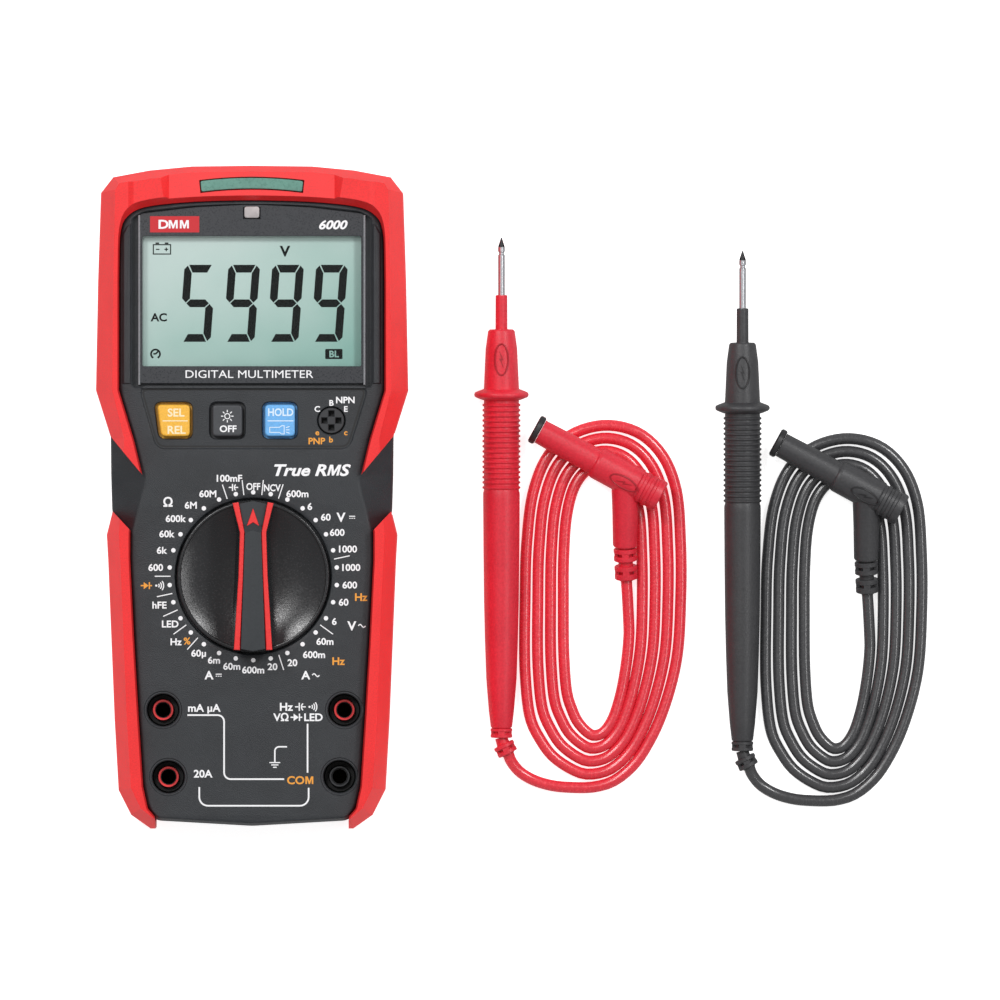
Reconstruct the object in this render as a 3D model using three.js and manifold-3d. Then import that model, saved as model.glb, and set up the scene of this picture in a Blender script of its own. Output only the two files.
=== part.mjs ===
// Handheld digital multimeter lying on its back, with its red and black test leads beside it.
// Millimetres. +X to the right across the front panel, +Y towards the display end, +Z out of the
// front panel. The origin is the centre of the meter's back face, which rests on the table at z = 0.

import * as THREE from 'three';
import { mergeVertices } from 'three/addons/utils/BufferGeometryUtils.js';
import Module from 'manifold-3d';

const wasm = await Module();
wasm.setup();

// ---- driving dimensions ----------------------------------------------------------------------

const GAP = 0.3;                 // clearance kept between neighbouring pieces
const WALL = 2.4;                // case wall
const FAR = 120;                 // reach of a cutting block past the meter

const CASE_SPLIT_Z = 21.5;       // parting line between rear and front case
const SHOULDER_Z = 38;           // where the case sides turn in towards the front panel
const DECK_Z = 46.5;             // front panel
const DECK_UNDER_Z = 44;         // inner face of the front panel
const RIM_Z = 50;                // top of the bumpers
const BACK_EDGE = 2;             // chamfer round the back face

const KNOB = { x: 0.4, y: -22, radius: 21.2, under: 43.8, rim: 47.3, ridge: 50.2, top: 56 };
const KNOB_WELL = { radius: 21.6, floor: 43.5, under: 41.3 };
const HUB_RADIUS = 5;

const BOARD = { low: 33, high: 34.6, bottom: -82.5, top: 75, inset: 4.5 };

const LENS = { half: 31.1, bottom: 31.6, side: 77.6, top: 80.1, low: 44.9 + GAP, high: 46.4 };
const WINDOW = { half: 30.4, bottom: 36.4, top: 72.6 };

const KEY_PANEL_Z = 45.9;        // floor of the shallow recess round the keys
const KEY = { top: 47.3, flangeLow: 42.4, flangeHigh: 43.7, flange: 1.2, bottom: 16.7, height: 9.2 };

const JACK_HOLE = 4.5;
const JACK_WELL = 6.1;
const JACKS = [
  { name: 'ma', x: -24.7, y: -59.2, colour: 'red' },
  { name: 'volt', x: 25.7, y: -59.2, colour: 'red' },
  { name: '20a', x: -23.2, y: -77.8, colour: 'red' },
  { name: 'com', x: 24.4, y: -77.7, colour: 'black' },
];

const CASE_SCREWS = [[-33, 80], [33, 80], [-11, -84.3], [11, -84.3]];
const SCREW = { shank: 1.4, head: 2.8, headLow: 9.6, headHigh: 11.7, tip: 34, seat: 12 };

const CELL = { radius: 7.2, length: 50.5, bottom: -57, z: 10.6, pitch: 14.9 };
const DOOR = { half: 31, bottom: -70, top: -2.4, low: 0.3, high: 2.3, screwY: -64 };
const STAND = { half: 24, hingeY: 63, hingeZ: 2.1, bottom: 8, low: 0.4, high: 3.4, pin: 1.3 };
const STAND_BAY = { half: 26.6, bottom: 3.6, top: 68, high: 6 };

const CORD_RADIUS = 1.6;
const CORD_SIDES = 8;
const CORD_Z = 1.65;             // centre of a cord that lies on the table
const BLACK_LEAD_SHIFT = [67.3, -3.7, 0];

// ---- outlines --------------------------------------------------------------------------------

// Right half of the meter, bottom to top: case side x, y and front panel edge x, y.
const FLANK = [
  [0, -91.5, 0, -90.7], [26.3, -90, 26.2, -89.2], [31.2, -86.6, 28.6, -86.4],
  [33.8, -80.5, 29.9, -80.5], [34.9, -62, 31.1, -62], [36, -39.8, 32.4, -39.8],
  [37, -17.5, 33.5, -17.5], [37.3, -10, 33.5, -9.8], [38.9, -4.2, 32.2, -5],
  [39.2, 6, 29.7, 4.5], [39.3, 16.4, 32.4, 15.8], [39.7, 29.7, 36.6, 29.7],
  [39.3, 60, 36.6, 60], [38.9, 80.5, 36.4, 75.2], [36.2, 85.2, 33.6, 78.9],
  [29.5, 87, 29, 80.7], [16, 88.3, 16, 81.9], [0, 88.6, 0, 82.3],
];

// Right half of the bumpers' outer surface, bottom to top.
const BUMPER_FLANK = [
  [0, -92.2], [28.2, -92.2], [33.6, -88.4], [37.1, -81.5], [38.2, -62], [39.1, -39.8],
  [40, -17.5], [40.4, -10.5], [38.8, -4.1], [39.2, 16.4], [43.4, 29.7], [42.8, 60.3],
  [42.2, 83.5], [39.6, 88.3], [28.4, 90.9], [16.8, 92], [0, 92.2],
];

function mirrored(rightHalf) {
  const left = rightHalf.slice(1, -1).reverse().map(([x, y]) => [-x, y]);
  return [...rightHalf, ...left];
}

const CASE_OUTLINE = mirrored(FLANK.map(([x, y]) => [x, y]));
const DECK_OUTLINE = mirrored(FLANK.map(([, , x, y]) => [x, y]));
const BUMPER_OUTLINE = mirrored(BUMPER_FLANK);

// Moves every edge of a counter-clockwise outline outwards by a distance, or inwards if negative.
function offset(outline, distance) {
  const count = outline.length;
  const normals = outline.map(([x, y], i) => {
    const [nextX, nextY] = outline[(i + 1) % count];
    const length = Math.hypot(nextX - x, nextY - y);
    return [(nextY - y) / length, (x - nextX) / length];
  });
  return outline.map(([x, y], i) => {
    const [ax, ay] = normals[(i + count - 1) % count];
    const [bx, by] = normals[i];
    const reach = distance / (1 + ax * bx + ay * by);
    return [x + (ax + bx) * reach, y + (ay + by) * reach];
  });
}

// ---- solids ----------------------------------------------------------------------------------

function solidOf(geometry) {
  const plain = geometry.clone();
  plain.deleteAttribute('normal');
  plain.deleteAttribute('uv');
  const merged = mergeVertices(plain, 1e-4);
  const index = merged.index.array;
  const triangles = [];
  for (let i = 0; i < index.length; i += 3) {
    const [a, b, c] = [index[i], index[i + 1], index[i + 2]];
    if (a !== b && b !== c && c !== a) triangles.push(a, b, c);
  }
  const vertProperties = new Float32Array(merged.attributes.position.array);
  const triVerts = new Uint32Array(triangles);
  return new wasm.Manifold(new wasm.Mesh({ numProp: 3, vertProperties, triVerts }));
}

function geometryOf(solid) {
  const { vertProperties, triVerts } = solid.getMesh();
  const geometry = new THREE.BufferGeometry();
  geometry.setAttribute('position', new THREE.BufferAttribute(vertProperties, 3));
  geometry.setIndex(new THREE.BufferAttribute(triVerts, 1));
  return geometry;
}

function combine(action, first, others) {
  return geometryOf(others.reduce((solid, other) => solid[action](solidOf(other)), solidOf(first)));
}

const cut = (base, ...tools) => combine('subtract', base, tools);
const join = (base, ...additions) => combine('add', base, additions);
const common = (base, other) => combine('intersect', base, [other]);

function prism(outline, low, high) {
  const shape = new THREE.Shape(outline.map(([x, y]) => new THREE.Vector2(x, y)));
  const geometry = new THREE.ExtrudeGeometry(shape, { depth: high - low, bevelEnabled: false });
  return geometry.translate(0, 0, low);
}

function block(left, right, bottom, top, low, high) {
  const geometry = new THREE.BoxGeometry(right - left, top - bottom, high - low);
  return geometry.translate((left + right) / 2, (bottom + top) / 2, (low + high) / 2);
}

// A closed skin through outlines stacked upwards: [outline, z] pairs with equal point counts.
function loft(levels) {
  const count = levels[0][0].length;
  const positions = levels.flatMap(([outline, z]) => outline.flatMap(([x, y]) => [x, y, z]));
  const index = [];
  for (let level = 0; level + 1 < levels.length; level += 1) {
    for (let i = 0; i < count; i += 1) {
      const a = level * count + i;
      const b = level * count + ((i + 1) % count);
      index.push(a, b, b + count, a, b + count, a + count);
    }
  }
  const cap = ([outline]) => {
    const contour = outline.map(([x, y]) => new THREE.Vector2(x, y));
    return THREE.ShapeUtils.triangulateShape(contour, []);
  };
  const last = (levels.length - 1) * count;
  cap(levels[0]).forEach(([a, b, c]) => index.push(c, b, a));
  cap(levels.at(-1)).forEach(([a, b, c]) => index.push(last + a, last + b, last + c));
  const geometry = new THREE.BufferGeometry();
  geometry.setAttribute('position', new THREE.Float32BufferAttribute(positions, 3));
  geometry.setIndex(index);
  return geometry;
}

// A body of revolution about a line parallel to Z. The profile lists radius, z.
function turned(profile, x, y, sides = 16) {
  const points = profile.map(([radius, z]) => new THREE.Vector2(radius, z));
  return new THREE.LatheGeometry(points, sides).rotateX(Math.PI / 2).translate(x, y, 0);
}

function rod(x, y, low, high, radius, sides = 16) {
  return turned([[0, low], [radius, low], [radius, high], [0, high]], x, y, sides);
}

function tube(x, y, low, high, outer, inner, sides = 16) {
  const profile = [[inner, low], [outer, low], [outer, high], [inner, high], [inner, low]];
  return turned(profile, x, y, sides);
}

// A body of revolution about the line from one point towards another. Profile: radius, distance.
function turnedAlong(profile, start, end, sides = 16) {
  const points = profile.map(([radius, distance]) => new THREE.Vector2(radius, distance));
  const direction = new THREE.Vector3(...end).sub(new THREE.Vector3(...start)).normalize();
  const turn = new THREE.Quaternion().setFromUnitVectors(new THREE.Vector3(0, 1, 0), direction);
  return new THREE.LatheGeometry(points, sides).applyQuaternion(turn).translate(...start);
}

function distanceBetween(start, end) {
  return new THREE.Vector3(...start).distanceTo(new THREE.Vector3(...end));
}

function cylinderBetween(start, end, radius, sides = 16) {
  const length = distanceBetween(start, end);
  return turnedAlong([[0, 0], [radius, 0], [radius, length], [0, length]], start, end, sides);
}

// A round bar that bends and tapers through [x, y, z, radius] stations.
function limb(stations, sides = 16) {
  const centres = stations.map(([x, y, z]) => new THREE.Vector3(x, y, z));
  const positions = [];
  stations.forEach(([, , , radius], i) => {
    const before = centres[Math.max(i - 1, 0)];
    const after = centres[Math.min(i + 1, centres.length - 1)];
    const along = after.clone().sub(before).normalize();
    const side = new THREE.Vector3().crossVectors(along, new THREE.Vector3(0, 0, 1)).normalize();
    const up = new THREE.Vector3().crossVectors(side, along);
    for (let k = 0; k < sides; k += 1) {
      const angle = (k / sides) * 2 * Math.PI;
      const point = centres[i].clone().addScaledVector(side, radius * Math.cos(angle));
      positions.push(...point.addScaledVector(up, radius * Math.sin(angle)).toArray());
    }
  });
  const index = [];
  for (let i = 0; i + 1 < stations.length; i += 1) {
    for (let k = 0; k < sides; k += 1) {
      const a = i * sides + k;
      const b = i * sides + ((k + 1) % sides);
      index.push(a, b + sides, b, a, a + sides, b + sides);
    }
  }
  const last = (stations.length - 1) * sides;
  for (let k = 1; k + 1 < sides; k += 1) index.push(0, k, k + 1, last, last + k + 1, last + k);
  const geometry = new THREE.BufferGeometry();
  geometry.setAttribute('position', new THREE.Float32BufferAttribute(positions, 3));
  geometry.setIndex(index);
  return geometry;
}

function roundSection(radius, sides) {
  const section = new THREE.Shape();
  for (let i = 0; i < sides; i += 1) {
    const angle = (i / sides) * 2 * Math.PI;
    const move = i ? 'lineTo' : 'moveTo';
    section[move](radius * Math.cos(angle), radius * Math.sin(angle));
  }
  return section;
}

function swept(points, radius, sides, steps) {
  const path = new THREE.CatmullRomCurve3(points.map((point) => new THREE.Vector3(...point)));
  const options = { steps, extrudePath: path, bevelEnabled: false };
  return new THREE.ExtrudeGeometry(roundSection(radius, sides), options);
}

// ---- materials and nodes ---------------------------------------------------------------------

const FINISH = {
  charcoal: [0x3c3e42, 0.55, 0],
  red: [0xe23a3a, 0.45, 0],
  leadRed: [0xd9283c, 0.4, 0],
  leadBlack: [0x3a3a3c, 0.4, 0],
  socketBlack: [0x141414, 0.5, 0],
  glass: [0x9fb5ae, 0.08, 0],
  lcd: [0xa9c9bd, 0.3, 0],
  diffuser: [0xe8ecea, 0.5, 0],
  lightPipe: [0x5f9182, 0.3, 0],
  yellow: [0xf6bd3c, 0.45, 0],
  blue: [0x6eb4ea, 0.45, 0],
  silicone: [0xd8d8d4, 0.7, 0],
  board: [0x1f6b3c, 0.5, 0],
  brass: [0xc7a24b, 0.3, 1],
  steel: [0xb8babd, 0.3, 1],
  ceramic: [0xe9e4d8, 0.5, 0],
  cell: [0x2f3338, 0.35, 0.3],
};

const group = new THREE.Group();

function addNode(parent, name, geometry, finish) {
  const [color, roughness, metalness] = FINISH[finish];
  const mesh = new THREE.Mesh(geometry, new THREE.MeshStandardMaterial({ color, roughness, metalness }));
  mesh.name = name;
  parent.add(mesh);
}

// ---- cases -----------------------------------------------------------------------------------

function caseEnvelope(growth) {
  const side = offset(CASE_OUTLINE, growth);
  const deck = offset(DECK_OUTLINE, growth);
  return loft([[side, -1], [side, SHOULDER_Z], [deck, DECK_Z + growth], [deck, DECK_Z + 20]]);
}

const CASE_SIDE_INNER = offset(CASE_OUTLINE, -WALL);
const DECK_INNER = offset(DECK_OUTLINE, -WALL);

function screwBoss(low, high, bore, blindEnd) {
  const bosses = CASE_SCREWS.map(([x, y]) => rod(x, y, low, high, 3.9));
  const bores = CASE_SCREWS.map(([x, y]) => rod(x, y, low - 1, blindEnd, bore));
  return { bosses, bores };
}

function rearCase() {
  const back = offset(CASE_OUTLINE, -BACK_EDGE);
  const outside = loft([[back, 0], [CASE_OUTLINE, BACK_EDGE], [CASE_OUTLINE, CASE_SPLIT_Z]]);
  const hollow = prism(CASE_SIDE_INNER, WALL, FAR);
  const { bosses } = screwBoss(0, CASE_SPLIT_Z, 0, 0);
  const bay = STAND_BAY;
  const standBay = block(-bay.half, bay.half, bay.bottom, bay.top, 0, bay.high);
  const doorLedge = block(-33.5, 33.5, DOOR.bottom - 3, CELL.bottom - 1.5, 0, DOOR.high + 2);
  const doorBoss = rod(0, DOOR.screwY, DOOR.high + 1, 9, 3.4);
  const filled = join(cut(outside, hollow), standBay, doorLedge, doorBoss, ...bosses);
  const standPocket = block(
    -STAND.half - GAP, STAND.half + GAP, STAND.bottom - 2 * GAP, STAND.hingeY + 2, -1, STAND.high + GAP,
  );
  const standPins = cylinderBetween(
    [-STAND.half - 2, STAND.hingeY, STAND.hingeZ], [STAND.half + 2, STAND.hingeY, STAND.hingeZ],
    STAND.pin + GAP,
  );
  const fingerNotch = block(-9, 9, STAND.bottom - 3.4, STAND.bottom, -1, STAND.high);
  const doorHalf = DOOR.half + GAP;
  const doorway = block(-doorHalf, doorHalf, DOOR.bottom - GAP, DOOR.top + GAP, -1, DOOR.high + GAP);
  const screwHoles = CASE_SCREWS.flatMap(([x, y]) => [
    rod(x, y, -1, SCREW.seat, SCREW.head + GAP),
    rod(x, y, SCREW.seat - 1, CASE_SPLIT_Z + 1, SCREW.shank + GAP),
  ]);
  const doorScrewHole = rod(0, DOOR.screwY, -1, 8, SCREW.shank + GAP);
  return cut(filled, standPocket, standPins, fingerNotch, doorway, doorScrewHole, ...screwHoles);
}

function lensOutline(growth) {
  const side = [
    [0, LENS.bottom], [LENS.half, LENS.bottom], [LENS.half, LENS.side], [16, LENS.top - 0.6],
    [0, LENS.top],
  ];
  return offset(mirrored(side), growth);
}

function indicatorBlock(growth, low, high) {
  return block(-2.3 - growth, 2.3 + growth, 77.9 - growth, 81.3 + growth, low, high);
}

const KEYS = [
  { name: 'select_button', left: -26.6, right: -17, lean: 1.2, finish: 'yellow' },
  { name: 'backlight_button', left: -11.2, right: -2.4, lean: 0, finish: 'charcoal' },
  { name: 'hold_button', left: 3.4, right: 12.2, lean: 0, finish: 'blue' },
];

function keyOutline({ left, right, lean }, growth) {
  const top = KEY.bottom + KEY.height;
  return offset([[left + lean, KEY.bottom], [right, KEY.bottom], [right, top], [left, top]], growth);
}

function frontCase() {
  const low = CASE_SPLIT_Z + GAP;
  const outside = loft([[CASE_OUTLINE, low], [CASE_OUTLINE, SHOULDER_Z], [DECK_OUTLINE, DECK_Z]]);
  const hollow = loft([
    [CASE_SIDE_INNER, CASE_SPLIT_Z - 1], [CASE_SIDE_INNER, SHOULDER_Z - 1], [DECK_INNER, DECK_UNDER_Z],
  ]);
  const { bosses, bores } = screwBoss(low, DECK_UNDER_Z + 1, SCREW.shank + GAP, SCREW.tip + 2);
  const knobCup = rod(KNOB.x, KNOB.y, KNOB_WELL.under, DECK_Z, KNOB_WELL.radius + 2, 36);
  const posts = [[-31, 31], [31, 31], [-28, -45], [28, -45]];
  const boardPosts = posts.map(([x, y]) => rod(x, y, BOARD.high + GAP, DECK_UNDER_Z + 1, 2, 12));
  const jackWells = JACKS.map(({ x, y }) => rod(x, y, BOARD.high + GAP, DECK_Z, JACK_WELL));
  const inside = [knobCup, ...bosses, ...boardPosts, ...jackWells].map((part) => common(part, outside));
  const shell = join(cut(outside, hollow), ...inside);
  const knobWell = rod(KNOB.x, KNOB.y, KNOB_WELL.floor, FAR, KNOB_WELL.radius, 36);
  const hubHole = rod(KNOB.x, KNOB.y, KNOB_WELL.under - 1, FAR, HUB_RADIUS + GAP);
  const lensPocket = prism(lensOutline(GAP), LENS.low - GAP, FAR);
  const window = block(-WINDOW.half, WINDOW.half, WINDOW.bottom, WINDOW.top, DECK_UNDER_Z - 1, FAR);
  const keyPanel = prism([[-26.4, 13.6], [27, 13.6], [32.2, 30.4], [-31.2, 30.4]], KEY_PANEL_Z, FAR);
  const keyHoles = KEYS.map((key) => prism(keyOutline(key, GAP), DECK_UNDER_Z - 1, FAR));
  const socketHole = rod(SOCKET.x, SOCKET.y, DECK_UNDER_Z - 1, FAR, SOCKET.radius + GAP);
  const jackHoles = JACKS.map(({ x, y }) => rod(x, y, BOARD.high, FAR, JACK_HOLE));
  const indicatorHole = indicatorBlock(GAP, LENS.low - GAP, FAR);
  const pockets = [knobWell, hubHole, lensPocket, window, keyPanel, socketHole, indicatorHole];
  return cut(shell, ...pockets, ...keyHoles, ...jackHoles, ...bores);
}

// ---- bumpers ---------------------------------------------------------------------------------

const UPPER_BUMPER_REGION = [
  [-29.9, 5.6], [29.9, 5.6], [38.9, 16.4], [60, 41.7], [60, FAR], [-60, FAR], [-60, 41.7],
  [-38.9, 16.4],
];
const LOWER_BUMPER_REGION = [[26.9, -100], [60, -100], [60, 18.6], [33.5, -9.5], [26.9, -90]];

function bumperEnvelope() {
  return loft([
    [offset(BUMPER_OUTLINE, -2.2), 0.6], [BUMPER_OUTLINE, 4], [BUMPER_OUTLINE, 43],
    [offset(BUMPER_OUTLINE, -3.4), RIM_Z],
  ]);
}

function lightPipeOutline(growth) {
  return offset(mirrored([[0, 85.4], [14, 84.8], [14.4, 87.8], [0, 88.4]]), growth);
}

const LIGHT_PIPE_LOW_Z = 45;

function upperBumper() {
  const band = common(bumperEnvelope(), prism(UPPER_BUMPER_REGION, -1, FAR));
  return cut(band, caseEnvelope(GAP), prism(lightPipeOutline(GAP), LIGHT_PIPE_LOW_Z - GAP, FAR));
}

function lowerBumper(side) {
  const outline = LOWER_BUMPER_REGION.map(([x, y]) => [side * x, y]);
  const region = prism(side > 0 ? outline : outline.reverse(), -1, FAR);
  return cut(common(bumperEnvelope(), region), caseEnvelope(GAP));
}

// ---- display, keys and transistor socket -----------------------------------------------------

const SOCKET = { x: 22.1, y: 21.3, radius: 3.6, low: 41, high: 46.1, pin: 1.95, pinHalf: 0.6 };

function displayLens() {
  return cut(prism(lensOutline(0), LENS.low, LENS.high), indicatorBlock(2 * GAP, LENS.low - 1, FAR));
}

function key(spec) {
  const cap = prism(keyOutline(spec, 0), KEY.flangeLow, KEY.top);
  return join(cap, prism(keyOutline(spec, KEY.flange), KEY.flangeLow, KEY.flangeHigh));
}

function transistorSocket() {
  const { x, y, radius, low, high, pin, pinHalf } = SOCKET;
  const pins = [[pin, 0], [-pin, 0], [0, pin], [0, -pin]].map(([dx, dy]) => block(
    x + dx - pinHalf, x + dx + pinHalf, y + dy - pinHalf, y + dy + pinHalf, low + 1, FAR,
  ));
  return cut(rod(x, y, low, high, radius), ...pins);
}

function addDisplayAndKeys() {
  addNode(group, 'display_lens', displayLens(), 'glass');
  addNode(group, 'lcd_panel', block(-32, 32, 34, 74.6, 41.6, 43.6), 'lcd');
  addNode(group, 'lcd_backlight', block(-32, 32, 34, 74.6, 38.2, 41.3), 'diffuser');
  addNode(group, 'ncv_light_pipe', prism(lightPipeOutline(0), LIGHT_PIPE_LOW_Z, RIM_Z - 0.3), 'lightPipe');
  addNode(group, 'indicator_lens', indicatorBlock(0, LENS.low, DECK_Z + 0.3), 'glass');
  KEYS.forEach((spec) => addNode(group, spec.name, key(spec), spec.finish));
  addNode(group, 'keypad_membrane', block(-28, 14, 15.5, 27.2, 40, 41.2), 'silicone');
  addNode(group, 'transistor_socket', transistorSocket(), 'socketBlack');
}

// ---- range switch ----------------------------------------------------------------------------

const ROTOR = { radius: 17, low: 35.2, high: 40.9, springX: 13, springPocket: 2, springLow: 37.2 };
const RIDGE = { half: 6.4, topHalf: 4.9, length: 20.2, topLength: 18.8 };

function rectangle(halfX, halfY) {
  return [[-halfX, -halfY], [halfX, -halfY], [halfX, halfY], [-halfX, halfY]];
}

function selectorKnob() {
  const { radius, under, rim, ridge } = KNOB;
  const dish = turned([
    [0, under], [radius, under], [radius, rim - 0.4], [radius - 0.4, rim], [radius - 0.9, rim],
    [radius - 4.2, rim - 1.7], [0, rim - 2.1],
  ], 0, 0, 36);
  const bar = loft([
    [rectangle(RIDGE.half, RIDGE.length), under + 0.5], [rectangle(RIDGE.topHalf, RIDGE.topLength), ridge],
  ]);
  const hub = rod(0, 0, ROTOR.low + 0.5, under + 1, HUB_RADIUS);
  const clipped = common(bar, rod(0, 0, 0, FAR, radius - 0.5, 36));
  return join(dish, clipped, hub).translate(KNOB.x, KNOB.y, 0);
}

function knobInlay() {
  const low = KNOB.ridge + GAP;
  const body = loft([[rectangle(4.9, 18.8), low], [rectangle(4.6, 18.4), KNOB.top - 0.6]]);
  return cut(body, block(-3.6, 3.6, -FAR, FAR, low + 1.3, FAR)).translate(KNOB.x, KNOB.y, 0);
}

function knobCap() {
  const low = KNOB.ridge + 1.3 + 2 * GAP;
  const body = loft([
    [rectangle(3.3, 18.6), low], [rectangle(3.3, 18.3), KNOB.top - 0.5], [rectangle(2.8, 17.6), KNOB.top],
  ]);
  return body.translate(KNOB.x, KNOB.y, 0);
}

function switchRotor() {
  const { radius, low, high, springX, springPocket, springLow } = ROTOR;
  const disc = tube(KNOB.x, KNOB.y, low, high, radius, HUB_RADIUS + GAP, 24);
  return cut(disc, rod(KNOB.x + springX, KNOB.y, springLow, FAR, springPocket, 12));
}

function detentSpring() {
  const turns = 3;
  const pointsPerTurn = 8;
  const low = ROTOR.springLow + 2 * GAP;
  const rise = ROTOR.high - GAP - low;
  const points = [];
  for (let i = 0; i <= turns * pointsPerTurn; i += 1) {
    const angle = (i / pointsPerTurn) * 2 * Math.PI;
    const along = i / (turns * pointsPerTurn);
    points.push([
      KNOB.x + ROTOR.springX + 1.3 * Math.cos(angle), KNOB.y + 1.3 * Math.sin(angle), low + rise * along,
    ]);
  }
  return swept(points, 0.25, 6, 24);
}

function addRangeSwitch() {
  addNode(group, 'selector_knob', selectorKnob(), 'charcoal');
  addNode(group, 'knob_inlay', knobInlay(), 'red');
  addNode(group, 'knob_cap', knobCap(), 'charcoal');
  addNode(group, 'switch_rotor', switchRotor(), 'silicone');
  addNode(group, 'detent_spring', detentSpring(), 'steel');
}

// ---- board, input jacks and fuses ------------------------------------------------------------

const CONTACT = { low: 24, high: 36.7, outer: 2.9, inner: 2 };
const RING = { top: 41.5, outer: 2.95, inner: 2.25 };

function mainBoard() {
  const blank = common(
    prism(offset(CASE_OUTLINE, -BOARD.inset), BOARD.low, BOARD.high),
    block(-FAR, FAR, BOARD.bottom, BOARD.top, 0, FAR),
  );
  const contactHoles = JACKS.map(({ x, y }) => rod(x, y, 0, FAR, CONTACT.outer + GAP, 16));
  const bossHoles = CASE_SCREWS.map(([x, y]) => rod(x, y, 0, FAR, 3.9 + GAP, 16));
  return cut(blank, ...contactHoles, ...bossHoles);
}

function jackSleeve({ x, y }) {
  const low = BOARD.high + GAP;
  const socketTop = CONTACT.high + GAP;
  const flangeTop = socketTop + 1;
  const bore = CONTACT.outer + GAP;
  const flange = JACK_HOLE - GAP;
  return turned([
    [bore, low], [flange, low], [flange, flangeTop], [RING.outer, flangeTop], [RING.outer, RING.top],
    [RING.inner, RING.top], [RING.inner, socketTop], [bore, socketTop], [bore, low],
  ], x, y);
}

function jackContact({ x, y }) {
  const { low, high, outer, inner } = CONTACT;
  const profile = [[0, low], [outer, low], [outer, high], [inner, high], [inner, low + 1.5], [0, low + 1.5]];
  return turned(profile, x, y, 16);
}

function fuse(y) {
  return cylinderBetween([-16, y, 28.5], [16, y, 28.5], 3.15);
}

function currentShunt() {
  const arch = [[-12, -64, 32.6], [-11.6, -64, 28], [0, -64, 25.6], [11.6, -64, 28], [12, -64, 32.6]];
  return swept(arch, 0.9, 8, 20);
}

function addElectronics() {
  addNode(group, 'main_board', mainBoard(), 'board');
  JACKS.forEach((jack) => {
    addNode(group, `jack_${jack.name}`, jackSleeve(jack), jack.colour === 'red' ? 'red' : 'socketBlack');
    addNode(group, `contact_${jack.name}`, jackContact(jack), 'brass');
  });
  addNode(group, 'fuse_ma', fuse(-57.5), 'ceramic');
  addNode(group, 'fuse_20a', fuse(-70.5), 'ceramic');
  addNode(group, 'current_shunt', currentShunt(), 'brass');
  addNode(group, 'buzzer', tube(-24, 4, BOARD.high + GAP, 39.5, 7.5, 1), 'socketBlack');
}

// ---- back: battery bay, screws and tilt stand ------------------------------------------------

function batteryDoor() {
  const { half, bottom, top, low, high, screwY } = DOOR;
  const plate = block(-half, half, bottom, top, low, high);
  const headSeat = rod(0, screwY, -1, low + 1.3, SCREW.head + GAP);
  return cut(plate, headSeat, rod(0, screwY, -1, FAR, SCREW.shank + GAP));
}

function screw(x, y, headLow, headHigh, tip) {
  const { shank, head } = SCREW;
  const profile = [
    [0, headLow], [head, headLow], [head, headHigh], [shank, headHigh], [shank, tip], [0, tip],
  ];
  return turned(profile, x, y);
}

function batteryCell(x) {
  const { radius, length, bottom, z } = CELL;
  const top = length - 1.2;
  const profile = [[0, 0], [radius, 0], [radius, top], [2.8, top], [2.8, length], [0, length]];
  return turnedAlong(profile, [x, bottom, z], [x, bottom + length, z]);
}

function kickstand() {
  const { half, hingeY, hingeZ, bottom, low, high, pin } = STAND;
  const plate = block(-half, half, bottom, hingeY, low, high);
  const window = block(-12, 12, bottom + 16, hingeY - 14, -1, FAR);
  const barrel = cylinderBetween([-half, hingeY, hingeZ], [half, hingeY, hingeZ], 1.4);
  const pins = cylinderBetween([-half - 1.6, hingeY, hingeZ], [half + 1.6, hingeY, hingeZ], pin);
  return join(cut(plate, window), barrel, pins);
}

function addBack() {
  addNode(group, 'battery_door', batteryDoor(), 'charcoal');
  addNode(group, 'battery_door_screw', screw(0, DOOR.screwY, 0.3, 1.3, 7.6), 'steel');
  [-1.5, -0.5, 0.5, 1.5].forEach((place, i) => {
    addNode(group, `battery_cell_${i + 1}`, batteryCell(place * CELL.pitch), 'cell');
  });
  CASE_SCREWS.forEach(([x, y], i) => {
    addNode(group, `case_screw_${i + 1}`, screw(x, y, SCREW.headLow, SCREW.headHigh, SCREW.tip), 'steel');
  });
  addNode(group, 'kickstand', kickstand(), 'charcoal');
}

// ---- test leads ------------------------------------------------------------------------------

// The probe lies with its guard and the end of its handle on the table, so its axis slopes.
const PROBE = { x: 69.4, guardY: 28.1, guardZ: 7.7, slope: 0.0421 };
const PROBE_REAR_Y = -64.5;

// The cord from the probe's strain relief to the start of the coil.
const TAIL_ROUTE = [
  [71.4, -71.9, 3.5], [72.1, -73.7, 2.9], [74.3, -76.5, 2], [77.9, -78.8, 1.65], [82.3, -80.3, 1.65],
  [87.3, -81, 1.65], [92.3, -81, 1.65],
];

// Oval that the coil winds inwards from, starting at the bottom and going round to the right.
const COIL_OVAL = [
  [92.6, -81], [99.7, -79.9], [106.1, -75.3], [111, -68.3], [115.2, -59.1], [119, -45.4], [120.4, -28.6],
  [120.6, -12], [119.4, 3.6], [115.4, 13.2], [108.6, 19.5], [99, 21.9], [89, 19.7], [81.4, 13.8],
  [76.5, 3.5], [74.1, -11.8], [73.3, -28.6], [73, -50.9], [74.6, -64.5], [77.4, -70.1], [81.4, -75.3],
  [88.3, -79.7],
];
const COIL_MIDDLE = { x: 96.8, y: -29.5, halfX: 23.8, halfY: 51.5 };
const COIL_PITCH = 3.61;
const COIL_TURNS = 4.283;
const COIL_TOP = 3.3;

const PLUG = {
  mouth: [79, 19, 8.7], back: [113.9, 0, 8.7], length: 39.7, shroud: 3.6, body: 4.6, shroudLength: 19,
  arm: [104, 5.4, 8.7], armEnd: [103.9, -13.8, 5], reliefEnd: [104.3, -23.2, 3],
};

function probeAxis(y) {
  return [PROBE.x, y, PROBE.guardZ + (y - PROBE.guardY) * PROBE.slope];
}

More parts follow.
